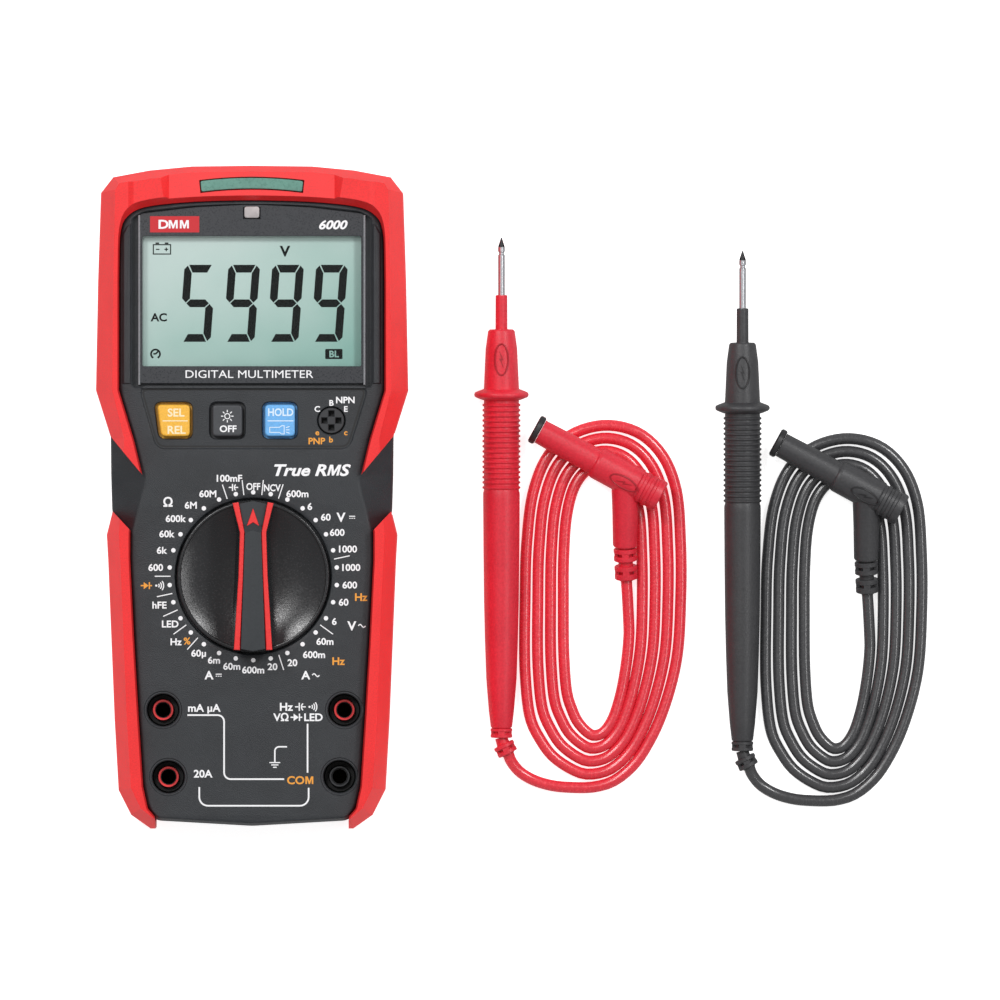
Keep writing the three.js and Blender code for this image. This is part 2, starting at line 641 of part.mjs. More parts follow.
function probeHandle() {
  const profile = [
    [0, 0], [3.1, 0], [4.25, 13.9], [4.85, 35], [5.14, 66.4], [5.42, 67], [5.42, 91.7], [7.65, 91.7],
    [7.65, 95], [4.9, 95], [3.6, 111.3], [1.64, 111.5], [1.64, 121], [1.25, 121], [1.25, 108], [0, 108],
  ];
  return turnedAlong(profile, probeAxis(PROBE_REAR_Y), probeAxis(0));
}

function probeTip() {
  const profile = [
    [0, 108.4], [0.95, 108.4], [0.95, 132.3], [0.7, 132.6], [0.7, 132.9], [0.93, 133.3], [0.93, 134.2],
    [0, 136.8],
  ];
  return turnedAlong(profile, probeAxis(PROBE_REAR_Y), probeAxis(0), 12);
}

function probeRelief() {
  const [endX, endY, endZ] = TAIL_ROUTE[0];
  return limb([
    [...probeAxis(PROBE_REAR_Y - GAP), 2.9], [...probeAxis(PROBE_REAR_Y - 2), 2.9],
    [endX - 1.1, endY + 3, endZ + 0.1, 2.5], [endX - 0.2, endY + 2 * GAP, endZ + 0.1, 2.3],
  ]);
}

// A point beside the coil's winding, by the number of turns wound so far. Each turn lies on the
// oval shrunk towards its centre by the pitch.
function coilPoint(turnsWound, sideways) {
  const oval = new THREE.CatmullRomCurve3(COIL_OVAL.map(([x, y]) => new THREE.Vector3(x, y, 0)), true);
  const place = turnsWound - Math.floor(turnsWound);
  const { x, y, halfX, halfY } = COIL_MIDDLE;
  const shrinkX = 1 - (COIL_PITCH * turnsWound) / halfX;
  const shrinkY = 1 - (COIL_PITCH * turnsWound) / halfY;
  const point = oval.getPointAt(place);
  const tangent = oval.getTangentAt(place);
  const along = new THREE.Vector2(tangent.x * shrinkX, tangent.y * shrinkY).normalize();
  return [
    x + (point.x - x) * shrinkX + along.y * sideways, y + (point.y - y) * shrinkY - along.x * sideways,
  ];
}

function coilEdge(fromTurn, toTurn, sideways) {
  const steps = 36;
  const edge = [];
  for (let i = 0; i <= steps; i += 1) {
    edge.push(coilPoint(fromTurn + ((toTurn - fromTurn) * i) / steps, sideways));
  }
  return edge;
}

function cableCoil() {
  const outer = coilEdge(0, 1, CORD_RADIUS);
  const inner = coilEdge(COIL_TURNS - 1, COIL_TURNS, -CORD_RADIUS);
  return cut(prism(outer, 0, COIL_TOP), prism(inner, -1, COIL_TOP + 1));
}

function plugBody() {
  const { mouth, back, length, shroud, body, shroudLength, arm, armEnd } = PLUG;
  const barrel = turnedAlong([
    [0, 17.5], [2.7, 17.5], [2.7, 0], [shroud, 0], [shroud, shroudLength], [body, shroudLength + 1],
    [body, length - 0.6], [body - 0.6, length], [0, length],
  ], mouth, back);
  const armLength = distanceBetween(arm, armEnd);
  const armProfile = [[0, 0], [3.9, 0], [3.3, armLength], [0, armLength]];
  return join(barrel, turnedAlong(armProfile, arm, armEnd));
}

function plugRelief() {
  const { armEnd, reliefEnd } = PLUG;
  const length = distanceBetween(armEnd, reliefEnd);
  return turnedAlong([[0, GAP], [2.9, GAP], [2.5, length], [0, length]], armEnd, reliefEnd);
}

function plugContact() {
  const profile = [[0, 2.6], [1.6, 2.6], [2, 3.6], [2, 14], [1.7, 15], [1.7, 17.5 - GAP], [0, 17.5 - GAP]];
  return turnedAlong(profile, PLUG.mouth, PLUG.back);
}

function addLead(colour, finish, shift) {
  const lead = new THREE.Group();
  lead.position.set(...shift);
  addNode(lead, `${colour}_probe_handle`, probeHandle(), finish);
  addNode(lead, `${colour}_probe_tip`, probeTip(), 'steel');
  addNode(lead, `${colour}_probe_relief`, probeRelief(), finish);
  addNode(lead, `${colour}_cable_tail`, swept(TAIL_ROUTE, CORD_RADIUS, CORD_SIDES, 8), finish);
  addNode(lead, `${colour}_cable_coil`, cableCoil(), finish);
  addNode(lead, `${colour}_plug_body`, plugBody(), finish);
  addNode(lead, `${colour}_plug_relief`, plugRelief(), finish);
  addNode(lead, `${colour}_plug_contact`, plugContact(), 'brass');
  group.add(lead);
}

// ---- assembly --------------------------------------------------------------------------------

addNode(group, 'front_case', frontCase(), 'charcoal');
addNode(group, 'rear_case', rearCase(), 'charcoal');
addNode(group, 'upper_bumper', upperBumper(), 'red');
addNode(group, 'lower_left_bumper', lowerBumper(-1), 'red');
addNode(group, 'lower_right_bumper', lowerBumper(1), 'red');
addDisplayAndKeys();
addRangeSwitch();
addElectronics();
addBack();
addLead('red', 'leadRed', [0, 0, 0]);
addLead('black', 'leadBlack', BLACK_LEAD_SHIFT);

export default group;
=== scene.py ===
"""Handheld digital multimeter lying on its back, with its red and black test leads beside it.

Lengths are in millimetres and become metres where an object is made. The frame is the model's own:
+X to the right across the front panel, +Y towards the display end, +Z out of the front panel.
"""
import math

import bmesh
import bpy
from mathutils import Matrix, Vector
from mathutils.geometry import tessellate_polygon

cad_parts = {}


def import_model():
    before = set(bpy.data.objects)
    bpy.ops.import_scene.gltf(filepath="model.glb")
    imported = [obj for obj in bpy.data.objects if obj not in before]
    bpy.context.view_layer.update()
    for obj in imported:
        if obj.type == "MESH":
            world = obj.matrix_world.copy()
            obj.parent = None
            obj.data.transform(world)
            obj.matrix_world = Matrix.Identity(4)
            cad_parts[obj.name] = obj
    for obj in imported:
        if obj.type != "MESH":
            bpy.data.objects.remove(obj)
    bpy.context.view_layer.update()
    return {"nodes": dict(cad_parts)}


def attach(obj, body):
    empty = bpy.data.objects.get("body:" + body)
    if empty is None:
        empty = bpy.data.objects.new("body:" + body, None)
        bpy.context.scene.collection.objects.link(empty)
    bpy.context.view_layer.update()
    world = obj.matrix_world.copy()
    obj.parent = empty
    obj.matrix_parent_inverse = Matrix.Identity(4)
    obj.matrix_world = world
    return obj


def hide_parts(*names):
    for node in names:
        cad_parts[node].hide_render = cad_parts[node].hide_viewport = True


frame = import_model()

MM = 0.001
GAP = 0.3                     # clearance kept between neighbouring pieces

# ---- dimensions shared with the frame ---------------------------------------------------------

CASE_SPLIT_Z = 21.5
SHOULDER_Z = 38
DECK_Z = 46.5
DECK_UNDER_Z = 44
RIM_Z = 50
WALL = 2.4

KNOB = (0.4, -22)
KNOB_RADIUS = 21.2
KNOB_WELL = 21.6
LENS_HALF = 31.1
LENS_POCKET_Z = 44.9
WINDOW = (-30.4, 30.4, 36.4, 72.6)
KEY_PANEL_Z = 45.9
KEY_LOW, KEY_HIGH = 16.7, 25.9
JACKS = {"ma": (-24.7, -59.2), "volt": (25.7, -59.2), "20a": (-23.2, -77.8), "com": (24.4, -77.7)}
JACK_WELL = 4.5               # radius of an input socket's well
SOCKET = (22.1, 21.3)         # middle of the transistor socket
SCREWS = [(-33, 80), (33, 80), (-11, -84.3), (11, -84.3)]
DOOR_SCREW = (0, -64)

# Right half of the meter, bottom to top: case side x, y and front panel edge x, y.
FLANK = [
    (0, -91.5, 0, -90.7), (26.3, -90, 26.2, -89.2), (31.2, -86.6, 28.6, -86.4),
    (33.8, -80.5, 29.9, -80.5), (34.9, -62, 31.1, -62), (36, -39.8, 32.4, -39.8),
    (37, -17.5, 33.5, -17.5), (37.3, -10, 33.5, -9.8), (38.9, -4.2, 32.2, -5),
    (39.2, 6, 29.7, 4.5), (39.3, 16.4, 32.4, 15.8), (39.7, 29.7, 36.6, 29.7),
    (39.3, 60, 36.6, 60), (38.9, 80.5, 36.4, 75.2), (36.2, 85.2, 33.6, 78.9),
    (29.5, 87, 29, 80.7), (16, 88.3, 16, 81.9), (0, 88.6, 0, 82.3),
]

# Right half of the bumpers, bottom to top: outer surface x, y and crest x, y.
BUMPER_FLANK = [
    (0, -92.2, 0, -88.8), (28.2, -92.2, 27.6, -89.2), (33.6, -88.4, 30.8, -86.6),
    (37.1, -81.5, 33.6, -80.8), (38.2, -62, 34.7, -62), (39.1, -39.8, 35.6, -39.8),
    (40, -17.5, 36.5, -17.5), (40.4, -10.5, 36.9, -10.5), (38.8, -4.1, 36.4, -4.1),
    (39.2, 16.4, 35.4, 16.4), (43.4, 29.7, 38.7, 29.7), (42.8, 60.3, 38.4, 60.3),
    (42, 84.6, 37.9, 85.6), (38.6, 89, 36.9, 87.4), (28.4, 90.9, 27.8, 88.8),
    (16.8, 92, 16.5, 89.9), (0, 92.2, 0, 90.1),
]

CORD_RADIUS = 1.6
BLACK_LEAD_SHIFT = Vector((67.3, -3.7, 0))
TAIL_ROUTE = [
    (71.4, -71.9, 3.5), (72.1, -73.7, 2.9), (74.3, -76.5, 2), (77.9, -78.8, 1.65), (82.3, -80.3, 1.65),
    (87.3, -81, 1.65), (92.3, -81, 1.65),
]
COIL_OVAL = [
    (92.6, -81), (99.7, -79.9), (106.1, -75.3), (111, -68.3), (115.2, -59.1), (119, -45.4),
    (120.4, -28.6), (120.6, -12), (119.4, 3.6), (115.4, 13.2), (108.6, 19.5), (99, 21.9), (89, 19.7),
    (81.4, 13.8), (76.5, 3.5), (74.1, -11.8), (73.3, -28.6), (73, -50.9), (74.6, -64.5), (77.4, -70.1),
    (81.4, -75.3), (88.3, -79.7),
]
COIL_MIDDLE = (96.8, -29.5)
COIL_HALF = (23.8, 51.5)
COIL_PITCH = 3.61
COIL_TURNS = 4.24
COIL_Z = 1.65

PLUG_MOUTH = Vector((79, 19, 8.7))
PLUG_BACK = Vector((113.9, 0, 8.7))
PLUG_ARM = Vector((104, 5.4, 8.7))
PLUG_ARM_END = Vector((103.9, -13.8, 5))
PLUG_RELIEF_END = Vector((104.3, -23.2, 3))
PROBE_X = 69.4
PROBE_GUARD = (28.1, 7.7)
PROBE_SLOPE = 0.0421
PROBE_REAR_Y = -64.5

# ---- outlines: lists of (x, y) ----------------------------------------------------------------


def mirrored(right_half):
    """A symmetrical outline from its right half, which starts and ends on the middle line."""
    return [*right_half, *[(-x, y) for x, y in reversed(right_half[1:-1])]]


def both_sides(right_half):
    """A symmetrical outline from its right half, whose ends stay off the middle line."""
    return [*right_half, *[(-x, y) for x, y in reversed(right_half)]]


def offset(outline, distance):
    """Moves every edge of a counter-clockwise outline outwards. distance is a number or one per point."""
    count = len(outline)
    distances = distance if isinstance(distance, list) else [distance] * count
    normals = []
    for (x, y), (next_x, next_y) in zip(outline, outline[1:] + outline[:1]):
        length = math.hypot(next_x - x, next_y - y)
        normals.append(((next_y - y) / length, (x - next_x) / length))
    moved = []
    for i, (x, y) in enumerate(outline):
        (ax, ay), (bx, by) = normals[i - 1], normals[i]
        reach = distances[i] / (1 + ax * bx + ay * by)
        moved.append((x + (ax + bx) * reach, y + (ay + by) * reach))
    return moved


def rounded(outline, radius, steps=4):
    """Turns each corner into a curve that starts radius before it. radius is a number or one per point."""
    curve = []
    count = len(outline)
    radii = radius if isinstance(radius, list) else [radius] * count
    for i, corner in enumerate(outline):
        corner = Vector(corner)
        before = Vector(outline[i - 1]) - corner
        after = Vector(outline[(i + 1) % count]) - corner
        start = corner + before * min(radii[i] / before.length, 0.49)
        end = corner + after * min(radii[i] / after.length, 0.49)
        for k in range(steps + 1):
            t = k / steps
            point = start * (1 - t) ** 2 + corner * 2 * t * (1 - t) + end * t ** 2
            curve.append((point.x, point.y))
    return curve


def rectangle(left, right, bottom, top):
    return [(left, bottom), (right, bottom), (right, top), (left, top)]


def circle(x, y, radius, steps=48):
    turns = [2 * math.pi * k / steps for k in range(steps)]
    return [(x + radius * math.cos(a), y + radius * math.sin(a)) for a in turns]


def blended(first, second, share):
    return [(a + (c - a) * share, b + (d - b) * share) for (a, b), (c, d) in zip(first, second)]


# ---- shapes: (points, faces) ------------------------------------------------------------------


def level(outline, z):
    return [(x, y, z) for x, y in outline]


def steps_of(outline, sections):
    """Rings from one outline: a (growth, z) pair for each."""
    return [level(offset(outline, growth), z) for growth, z in sections]


def channel(sections, x=0, y=0):
    """Rings round (x, y): a (radius, z) pair for each."""
    return [level(circle(x, y, radius), z) for radius, z in sections]


def joined(*shapes):
    points, faces = [], []
    for shape_points, shape_faces in shapes:
        start = len(points)
        points += shape_points
        faces += [tuple(start + i for i in face) for face in shape_faces]
    return points, faces


def transformed(shape, matrix):
    return [tuple(matrix @ Vector(point)) for point in shape[0]], shape[1]


def shifted(shape, x=0, y=0, z=0):
    return transformed(shape, Matrix.Translation((x, y, z)))


def skin(rings, first_cap=True, last_cap=True):
    """A tube through rings with equal point counts, closed at its ends by flat faces if asked."""
    count = len(rings[0])
    points = [point for ring in rings for point in ring]
    faces = []
    for row in range(len(rings) - 1):
        for i in range(count):
            a, b = row * count + i, row * count + (i + 1) % count
            faces.append((a, b, b + count, a + count))
    if first_cap:
        faces.append(tuple(reversed(range(count))))
    if last_cap:
        faces.append(tuple(range(len(points) - count, len(points))))
    return points, faces


def prism(outline, low, high):
    return skin([level(outline, low), level(outline, high)])


def face_with_holes(rings):
    """A flat face inside the first ring and outside the others."""
    triangles = tessellate_polygon([[Vector(point) for point in ring] for ring in rings])
    return [point for ring in rings for point in ring], [tuple(face) for face in triangles]


def rounded_slab(outline, low, high, edge, steps=3):
    """A slab whose top edge is rounded."""
    rings = [level(outline, low)]
    for k in range(steps + 1):
        angle = math.pi / 2 * k / steps
        inset = edge * (1 - math.cos(angle))
        rings.append(level(offset(outline, -inset), high - edge + edge * math.sin(angle)))
    return skin(rings)


def plate(outline, holes, low, high, edge=0.2):
    """A slab with holes through it, its upper edges chamfered."""
    tops = [level(offset(outline, -edge), high), *[level(offset(hole, edge), high) for hole in holes]]
    bottoms = [level(outline, low), *[level(hole, low) for hole in holes]]
    shapes = [face_with_holes(tops), face_with_holes(bottoms)]
    for contour, top, bottom in zip([outline, *holes], tops, bottoms):
        shapes.append(skin([bottom, level(contour, high - edge), top], False, False))
    return joined(*shapes)


def turned(profile, steps=48):
    """A body of revolution about Z. The profile lists (radius, z) and starts and ends on the axis."""
    points, faces, rows = [], [], []
    for radius, z in profile:
        ring = [(0, 0, z)] if radius == 0 else level(circle(0, 0, radius, steps), z)
        rows.append(range(len(points), len(points) + len(ring)))
        points += ring
    for low, high in zip(rows, rows[1:]):
        for i in range(steps):
            j = (i + 1) % steps
            corners = [low[i % len(low)], low[j % len(low)], high[j % len(high)], high[i % len(high)]]
            corners = tuple(dict.fromkeys(corners))
            if len(corners) > 2:
                faces.append(corners)
    return points, faces


def ring_of(profile, steps=48):
    """A body of revolution about Z whose profile closes on itself."""
    rings = [level(circle(0, 0, radius, steps), z) for radius, z in [*profile, profile[0]]]
    return skin(rings, False, False)


def axis_matrix(start, end, up=(0, 0, 1)):
    """Local +Z runs from start to end, and local +Y is as near up as it can be."""
    along = (Vector(end) - Vector(start)).normalized()
    side = Vector(up).cross(along).normalized()
    high = along.cross(side)
    matrix = Matrix((side, high, along)).transposed().to_4x4()
    matrix.translation = start
    return matrix


def limb(stations, steps=24):
    """A round bar through (centre, radius) stations."""
    centres = [Vector(centre) for centre, _ in stations]
    rings = []
    for i, (_, radius) in enumerate(stations):
        before, after = centres[max(i - 1, 0)], centres[min(i + 1, len(centres) - 1)]
        matrix = axis_matrix(before, after)
        matrix.translation = centres[i]
        rings.append([tuple(matrix @ Vector(p)) for p in level(circle(0, 0, radius, steps), 0)])
    return skin(rings)


def ellipse_band(across, along, width, height_at, depth=0.3, steps=40):
    """A raised oval band on a surface whose height over (x, z) is given by a function."""
    low, high = 0.16, 0.28
    profile = [(0, -depth), (0, low), (width * 0.3, high), (width * 0.7, high), (width, low), (width, -depth)]
    rings = []
    for k in range(steps):
        angle = 2 * math.pi * k / steps
        section = []
        for grow, rise in profile:
            x = (across - grow) * math.cos(angle)
            z = (along - grow) * math.sin(angle)
            section.append((x, height_at(x, z) + rise, z))
        rings.append(section)
    return skin([*rings, rings[0]], False, False)


# ---- objects ----------------------------------------------------------------------------------


def plain_object(name, shape):
    mesh = bpy.data.meshes.new(name)
    mesh.from_pydata([[c * MM for c in point] for point in shape[0]], [], shape[1])
    work = bmesh.new()
    work.from_mesh(mesh)
    bmesh.ops.remove_doubles(work, verts=work.verts, dist=1e-3 * MM)
    bmesh.ops.dissolve_degenerate(work, edges=work.edges, dist=1e-4 * MM)
    bmesh.ops.recalc_face_normals(work, faces=work.faces)
    work.to_mesh(mesh)
    work.free()
    piece = bpy.data.objects.new(name, mesh)
    bpy.context.scene.collection.objects.link(piece)
    return piece


def applied(piece):
    """The piece's mesh with its modifiers in it."""
    graph = bpy.context.evaluated_depsgraph_get()
    mesh = bpy.data.meshes.new_from_object(piece.evaluated_get(graph))
    piece.modifiers.clear()
    piece.data = mesh
    return piece


def boolean(shape, operation, tool):
    """DIFFERENCE, UNION or INTERSECT of two closed shapes."""
    base, other = plain_object("base", shape), plain_object("tool", tool)
    modifier = base.modifiers.new("cut", "BOOLEAN")
    modifier.operation = operation
    modifier.object = other
    modifier.solver = "EXACT"
    applied(base)
    points = [tuple(c / MM for c in v.co) for v in base.data.vertices]
    faces = [tuple(face.vertices) for face in base.data.polygons]
    bpy.data.objects.remove(base)
    bpy.data.objects.remove(other)
    return points, faces


def make(name, shape, material, body, nodes=(), sharp=32, bevel=0):
    """One finished piece that rides on a body and stands for CAD nodes."""
    piece = plain_object(name, shape)
    if bevel:
        modifier = piece.modifiers.new("edges", "BEVEL")
        modifier.width = bevel * MM
        modifier.segments = 2
        modifier.limit_method = "ANGLE"
        modifier.angle_limit = math.radians(20)
        modifier.harden_normals = True
        applied(piece)
    piece.data.shade_smooth()
    piece.data.set_sharp_from_angle(angle=math.radians(sharp))
    normals = piece.modifiers.new("normals", "WEIGHTED_NORMAL")
    normals.keep_sharp = True
    piece.data.materials.clear()
    piece.data.materials.append(material)
    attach(piece, body)
    if nodes:
        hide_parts(*nodes)
    return piece


# ---- lettering and line marks -----------------------------------------------------------------

PRINT_HEIGHT = 0.03           # how far print stands off its surface
SAME_POINT = 0.01             # points of a line nearer than this are one point


def glyphs(text, slant=0, weight=0):
    """A centred line of lettering of size 1, as a flat shape."""
    curve = bpy.data.curves.new("lettering", "FONT")
    curve.body = text
    curve.size = 1
    curve.align_x = "CENTER"
    curve.align_y = "BOTTOM_BASELINE"
    curve.shear = slant
    curve.offset = weight
    curve.resolution_u = 3
    curve.fill_mode = "FRONT"
    writer = bpy.data.objects.new("lettering", curve)
    bpy.context.scene.collection.objects.link(writer)
    graph = bpy.context.evaluated_depsgraph_get()
    mesh = bpy.data.meshes.new_from_object(writer.evaluated_get(graph))
    points = [tuple(v.co) for v in mesh.vertices]
    faces = [tuple(face.vertices) for face in mesh.polygons]
    bpy.data.objects.remove(writer)
    bpy.data.meshes.remove(mesh)
    return points, faces


CAP_HEIGHT = max(point[1] for point in glyphs("H")[0])


def lettering(text, cap, x, y, z, slant=0, weight=0.025, squeeze=1.05):
    """Flat lettering of the given capital height, centred on (x, y)."""
    size = cap / CAP_HEIGHT
    place = Matrix.Translation((x, y - cap / 2, z + PRINT_HEIGHT))
    return transformed(glyphs(text, slant, weight), place @ Matrix.Diagonal((size * squeeze, size, 1, 1)))


def bold_m(left, middle, cap, width, slant, z):
    """A heavy capital M."""
    outline = [(0, 0), (0, 1), (0.28, 1), (0.5, 0.38), (0.72, 1), (1, 1), (1, 0), (0.8, 0), (0.8, 0.68),
               (0.58, 0), (0.42, 0), (0.2, 0.68), (0.2, 0)]
    return flat([(left + x * width + slant * y * cap, middle + (y - 0.5) * cap) for x, y in outline[::-1]], z)


def flat(outline, z):
    return level(outline, z + PRINT_HEIGHT), [tuple(range(len(outline)))]


def dot(x, y, radius, z):
    return flat(circle(x, y, radius, 20), z)


def stroke(points, width, z):
    """A line of even width through points, mitred at its corners. It closes if it ends where it starts."""
    apart = [i == 0 or math.dist(point, points[i - 1]) > SAME_POINT for i, point in enumerate(points)]
    line = [Vector(point) for point, kept in zip(points, apart) if kept]
    closed = (line[0] - line[-1]).length < SAME_POINT
    if closed:
        line.pop()
    count = len(line)
    left, right = [], []
    for i, point in enumerate(line):
        before = line[i - 1] if closed or i else point * 2 - line[1]
        after = line[(i + 1) % count] if closed or i + 1 < count else point * 2 - line[-2]
        first, second = (point - before).normalized(), (after - point).normalized()
        across = Vector((-first.y - second.y, first.x + second.x)) * (width / 2 / (1 + first.dot(second)))
        left.append(point + across)
        right.append(point - across)
    points = level([tuple(point) for point in [*left, *right]], z + PRINT_HEIGHT)
    spans = count if closed else count - 1
    faces = [(count + i, count + (i + 1) % count, (i + 1) % count, i) for i in range(spans)]
    return points, faces


def strokes(lines, z):
    """Several lines, each given as (points, width)."""
    return joined(*[stroke(points, width, z) for points, width in lines])


def closed_line(outline):
    return [*outline, outline[0]]


def arc_points(x, y, radius, start, end, steps=6):
    turns = [math.radians(start + (end - start) * k / steps) for k in range(steps + 1)]
    return [(x + radius * math.cos(a), y + radius * math.sin(a)) for a in turns]


# ---- materials --------------------------------------------------------------------------------


def linear(red, green, blue):
    """A display colour, 0 to 255, as linear light."""
    return [((c / 255 + 0.055) / 1.055) ** 2.4 if c > 10 else c / 255 / 12.92 for c in (red, green, blue)]


class Finish:
    """A Principled material and its node tree."""

    def __init__(self, name, roughness, metallic=0.0, **settings):
        self.material = bpy.data.materials.new(name)
        self.material.use_nodes = True
        self.nodes = self.material.node_tree.nodes
        self.shader = self.nodes["Principled BSDF"]
        self.shader.inputs["Roughness"].default_value = roughness
        self.shader.inputs["Metallic"].default_value = metallic
        for socket, value in settings.items():
            self.shader.inputs[socket.replace("_", " ")].default_value = value
        self.place = self.nodes.new("ShaderNodeTexCoord").outputs["Object"]

    def link(self, source, target):
        self.material.node_tree.links.new(source, target)

    def noise(self, size, detail=3.0, place=None):
        """Noise whose features are about size millimetres across."""
        node = self.nodes.new("ShaderNodeTexNoise")
        node.inputs["Scale"].default_value = 1 / (size * MM)
        node.inputs["Detail"].default_value = detail
        self.link(place or self.place, node.inputs["Vector"])
        return node.outputs["Fac"]

    def ramp(self, factor, stops):
        """Colour by (position, linear colour) stops."""
        node = self.nodes.new("ShaderNodeValToRGB")
        while len(node.color_ramp.elements) < len(stops):
            node.color_ramp.elements.new(0.5)
        for element, (position, colour) in zip(node.color_ramp.elements, stops):
            element.position = position
            element.color = (*colour, 1)
        self.link(factor, node.inputs["Fac"])
        return node.outputs["Color"]

    def tint(self, factor, stops):
        """Base colour by (position, linear colour) stops."""
        self.link(self.ramp(factor, stops), self.shader.inputs["Base Color"])

    def gloss(self, factor, low, high):
        """Roughness that goes from low to high as the factor goes from 0.3 to 0.7."""
        node = self.nodes.new("ShaderNodeMapRange")
        for socket, value in (("From Min", 0.3), ("From Max", 0.7), ("To Min", low), ("To Max", high)):
            node.inputs[socket].default_value = value
        self.link(factor, node.inputs["Value"])
        self.link(node.outputs["Result"], self.shader.inputs["Roughness"])

    def bump(self, heights):
        """Surface relief from (height output, depth in millimetres) pairs, one on another."""
        normal = None
        for height, depth in heights:
            node = self.nodes.new("ShaderNodeBump")
            node.inputs["Distance"].default_value = depth * MM
            node.inputs["Strength"].default_value = 1
            self.link(height, node.inputs["Height"])
            if normal:
                self.link(normal, node.inputs["Normal"])
            normal = node.outputs["Normal"]
        self.link(normal, self.shader.inputs["Normal"])


def moulded(name, colour, roughness, grain=0.35, depth=0.02, mottle=0.06, **settings):
    """Moulded plastic or rubber: fine spark-eroded grain, faint flow mottling, uneven gloss."""
    finish = Finish(name, roughness, **settings)
    base = linear(*colour)
    cloud = finish.noise(9, 4)
    speckle = finish.noise(grain * 1.4, 2)
    dark = [c * (1 - mottle) for c in base]
    light = [c * (1 + mottle) + 0.001 for c in base]
    tone = finish.ramp(cloud, [(0.3, dark), (0.7, light)])
    mix = finish.nodes.new("ShaderNodeMix")
    mix.data_type = "RGBA"
    mix.blend_type = "MULTIPLY"
    mix.inputs["Factor"].default_value = 1
    fleck = finish.ramp(speckle, [(0.3, [0.9] * 3), (0.7, [1.08] * 3)])
    finish.link(tone, mix.inputs["A"])
    finish.link(fleck, mix.inputs["B"])
    finish.link(mix.outputs["Result"], finish.shader.inputs["Base Color"])
    finish.gloss(speckle, roughness - 0.06, roughness + 0.06)
    finish.bump([(finish.noise(grain, 2), depth), (finish.noise(6, 2), depth * 0.8)])
    return finish.material


def metal(name, colour, roughness=0.25, lay=0.4):
    """Drawn or turned metal with fine marks round it."""
    finish = Finish(name, roughness, 1.0)
    base = linear(*colour)
    stretch = finish.nodes.new("ShaderNodeMapping")
    stretch.inputs["Scale"].default_value = (1, 8, 1)
    finish.link(finish.place, stretch.inputs["Vector"])
    marks = finish.noise(lay, 4, stretch.outputs["Vector"])
    finish.tint(marks, [(0.3, [c * 0.86 for c in base]), (0.7, base)])
    finish.gloss(marks, roughness * 0.7, roughness * 1.4)
    finish.bump([(marks, 0.006)])
    return finish.material


def ink(name, colour, roughness=0.55):
    """Pad-printed ink: slightly uneven cover."""
    finish = Finish(name, roughness)
    base = linear(*colour)
    finish.tint(finish.noise(0.25, 3), [(0.28, [c * 0.86 for c in base]), (0.5, base)])
    finish.bump([(finish.noise(0.3, 2), 0.006)])
    return finish.material


def glass(name, tint, alpha, roughness=0.05):
    """A thin clear pane that lets most light through, with faint handling marks."""
    finish = Finish(name, roughness, Alpha=alpha, IOR=1.49)
    smear = finish.noise(7, 5)
    base = linear(*tint)
    finish.tint(smear, [(0.35, [c * 0.9 for c in base]), (0.65, base)])
    finish.gloss(smear, roughness, roughness + 0.08)
    return finish.material


def lcd_film():
    """Reflective LCD: pale green-grey with the polariser's fine grain, and a painted sheen that makes it
    paler towards the top left and darker towards the bottom right.
    """
    finish = Finish("lcd_film", 0.34)
    # The painted sheen: a diagonal ramp across the film, lighter towards the top left.
    sheen_slope = finish.nodes.new("ShaderNodeVectorMath")
    sheen_slope.operation = "DOT_PRODUCT"
    sheen_slope.inputs[1].default_value = (-4.5, 9, 0)
    finish.link(finish.place, sheen_slope.inputs[0])
    # Faint mottling added onto the painted sheen.
    cloud = finish.nodes.new("ShaderNodeMath")
    cloud.operation = "MULTIPLY_ADD"
    cloud.inputs[1].default_value = 0.35
    finish.link(finish.noise(24, 2), cloud.inputs[0])
    finish.link(sheen_slope.outputs["Value"], cloud.inputs[2])
    finish.tint(cloud.outputs["Value"], [(0.38, linear(144, 190, 179)), (0.92, linear(212, 231, 226))])
    finish.bump([(finish.noise(0.2, 2), 0.003)])
    return finish.material


def board_material():
    """Solder-masked board: green mask over a faint weave."""
    finish = Finish("board_mask", 0.35)
    weave = finish.nodes.new("ShaderNodeTexWave")
    weave.inputs["Scale"].default_value = 400
    weave.inputs["Distortion"].default_value = 1.5
    finish.link(finish.place, weave.inputs["Vector"])
    finish.tint(finish.noise(4, 4), [(0.4, linear(22, 92, 54)), (0.6, linear(34, 118, 70))])
    finish.bump([(weave.outputs["Fac"], 0.01)])
    return finish.material


CHARCOAL = moulded("charcoal_plastic", (40, 43, 47), 0.5, grain=0.28, depth=0.12, mottle=0.12)
CHARCOAL_SMOOTH = moulded("charcoal_smooth", (44, 48, 52), 0.42, grain=0.3, depth=0.012)
KNOB_PLASTIC = moulded("knob_plastic", (36, 37, 39), 0.24, grain=0.4, depth=0.02)
BUMPER_RED = moulded("red_bumper", (242, 36, 38), 0.42, grain=0.3, depth=0.012, mottle=0.04)
KNOB_RED = moulded("knob_red", (236, 46, 46), 0.4, grain=0.3, depth=0.008, mottle=0.03)
JACK_RED = moulded("jack_red", (250, 66, 68), 0.4, grain=0.3, depth=0.008)
JACK_BLACK = moulded("jack_black", (52, 53, 56), 0.4, grain=0.3, depth=0.008)
SOCKET_BLACK = moulded("socket_black", (46, 47, 50), 0.45, grain=0.25, depth=0.01)
KEY_YELLOW = moulded("yellow_key", (246, 186, 62), 0.42, grain=0.3, depth=0.008, mottle=0.03)
KEY_CHARCOAL = moulded("charcoal_key", (64, 66, 70), 0.42, grain=0.3, depth=0.01)
KEY_BLUE = moulded("blue_key", (110, 180, 240), 0.42, grain=0.3, depth=0.008, mottle=0.03)
SILICONE = moulded("silicone", (206, 206, 202), 0.65, grain=0.6, depth=0.02)
NYLON = moulded("nylon", (224, 222, 212), 0.5, grain=0.5, depth=0.015)
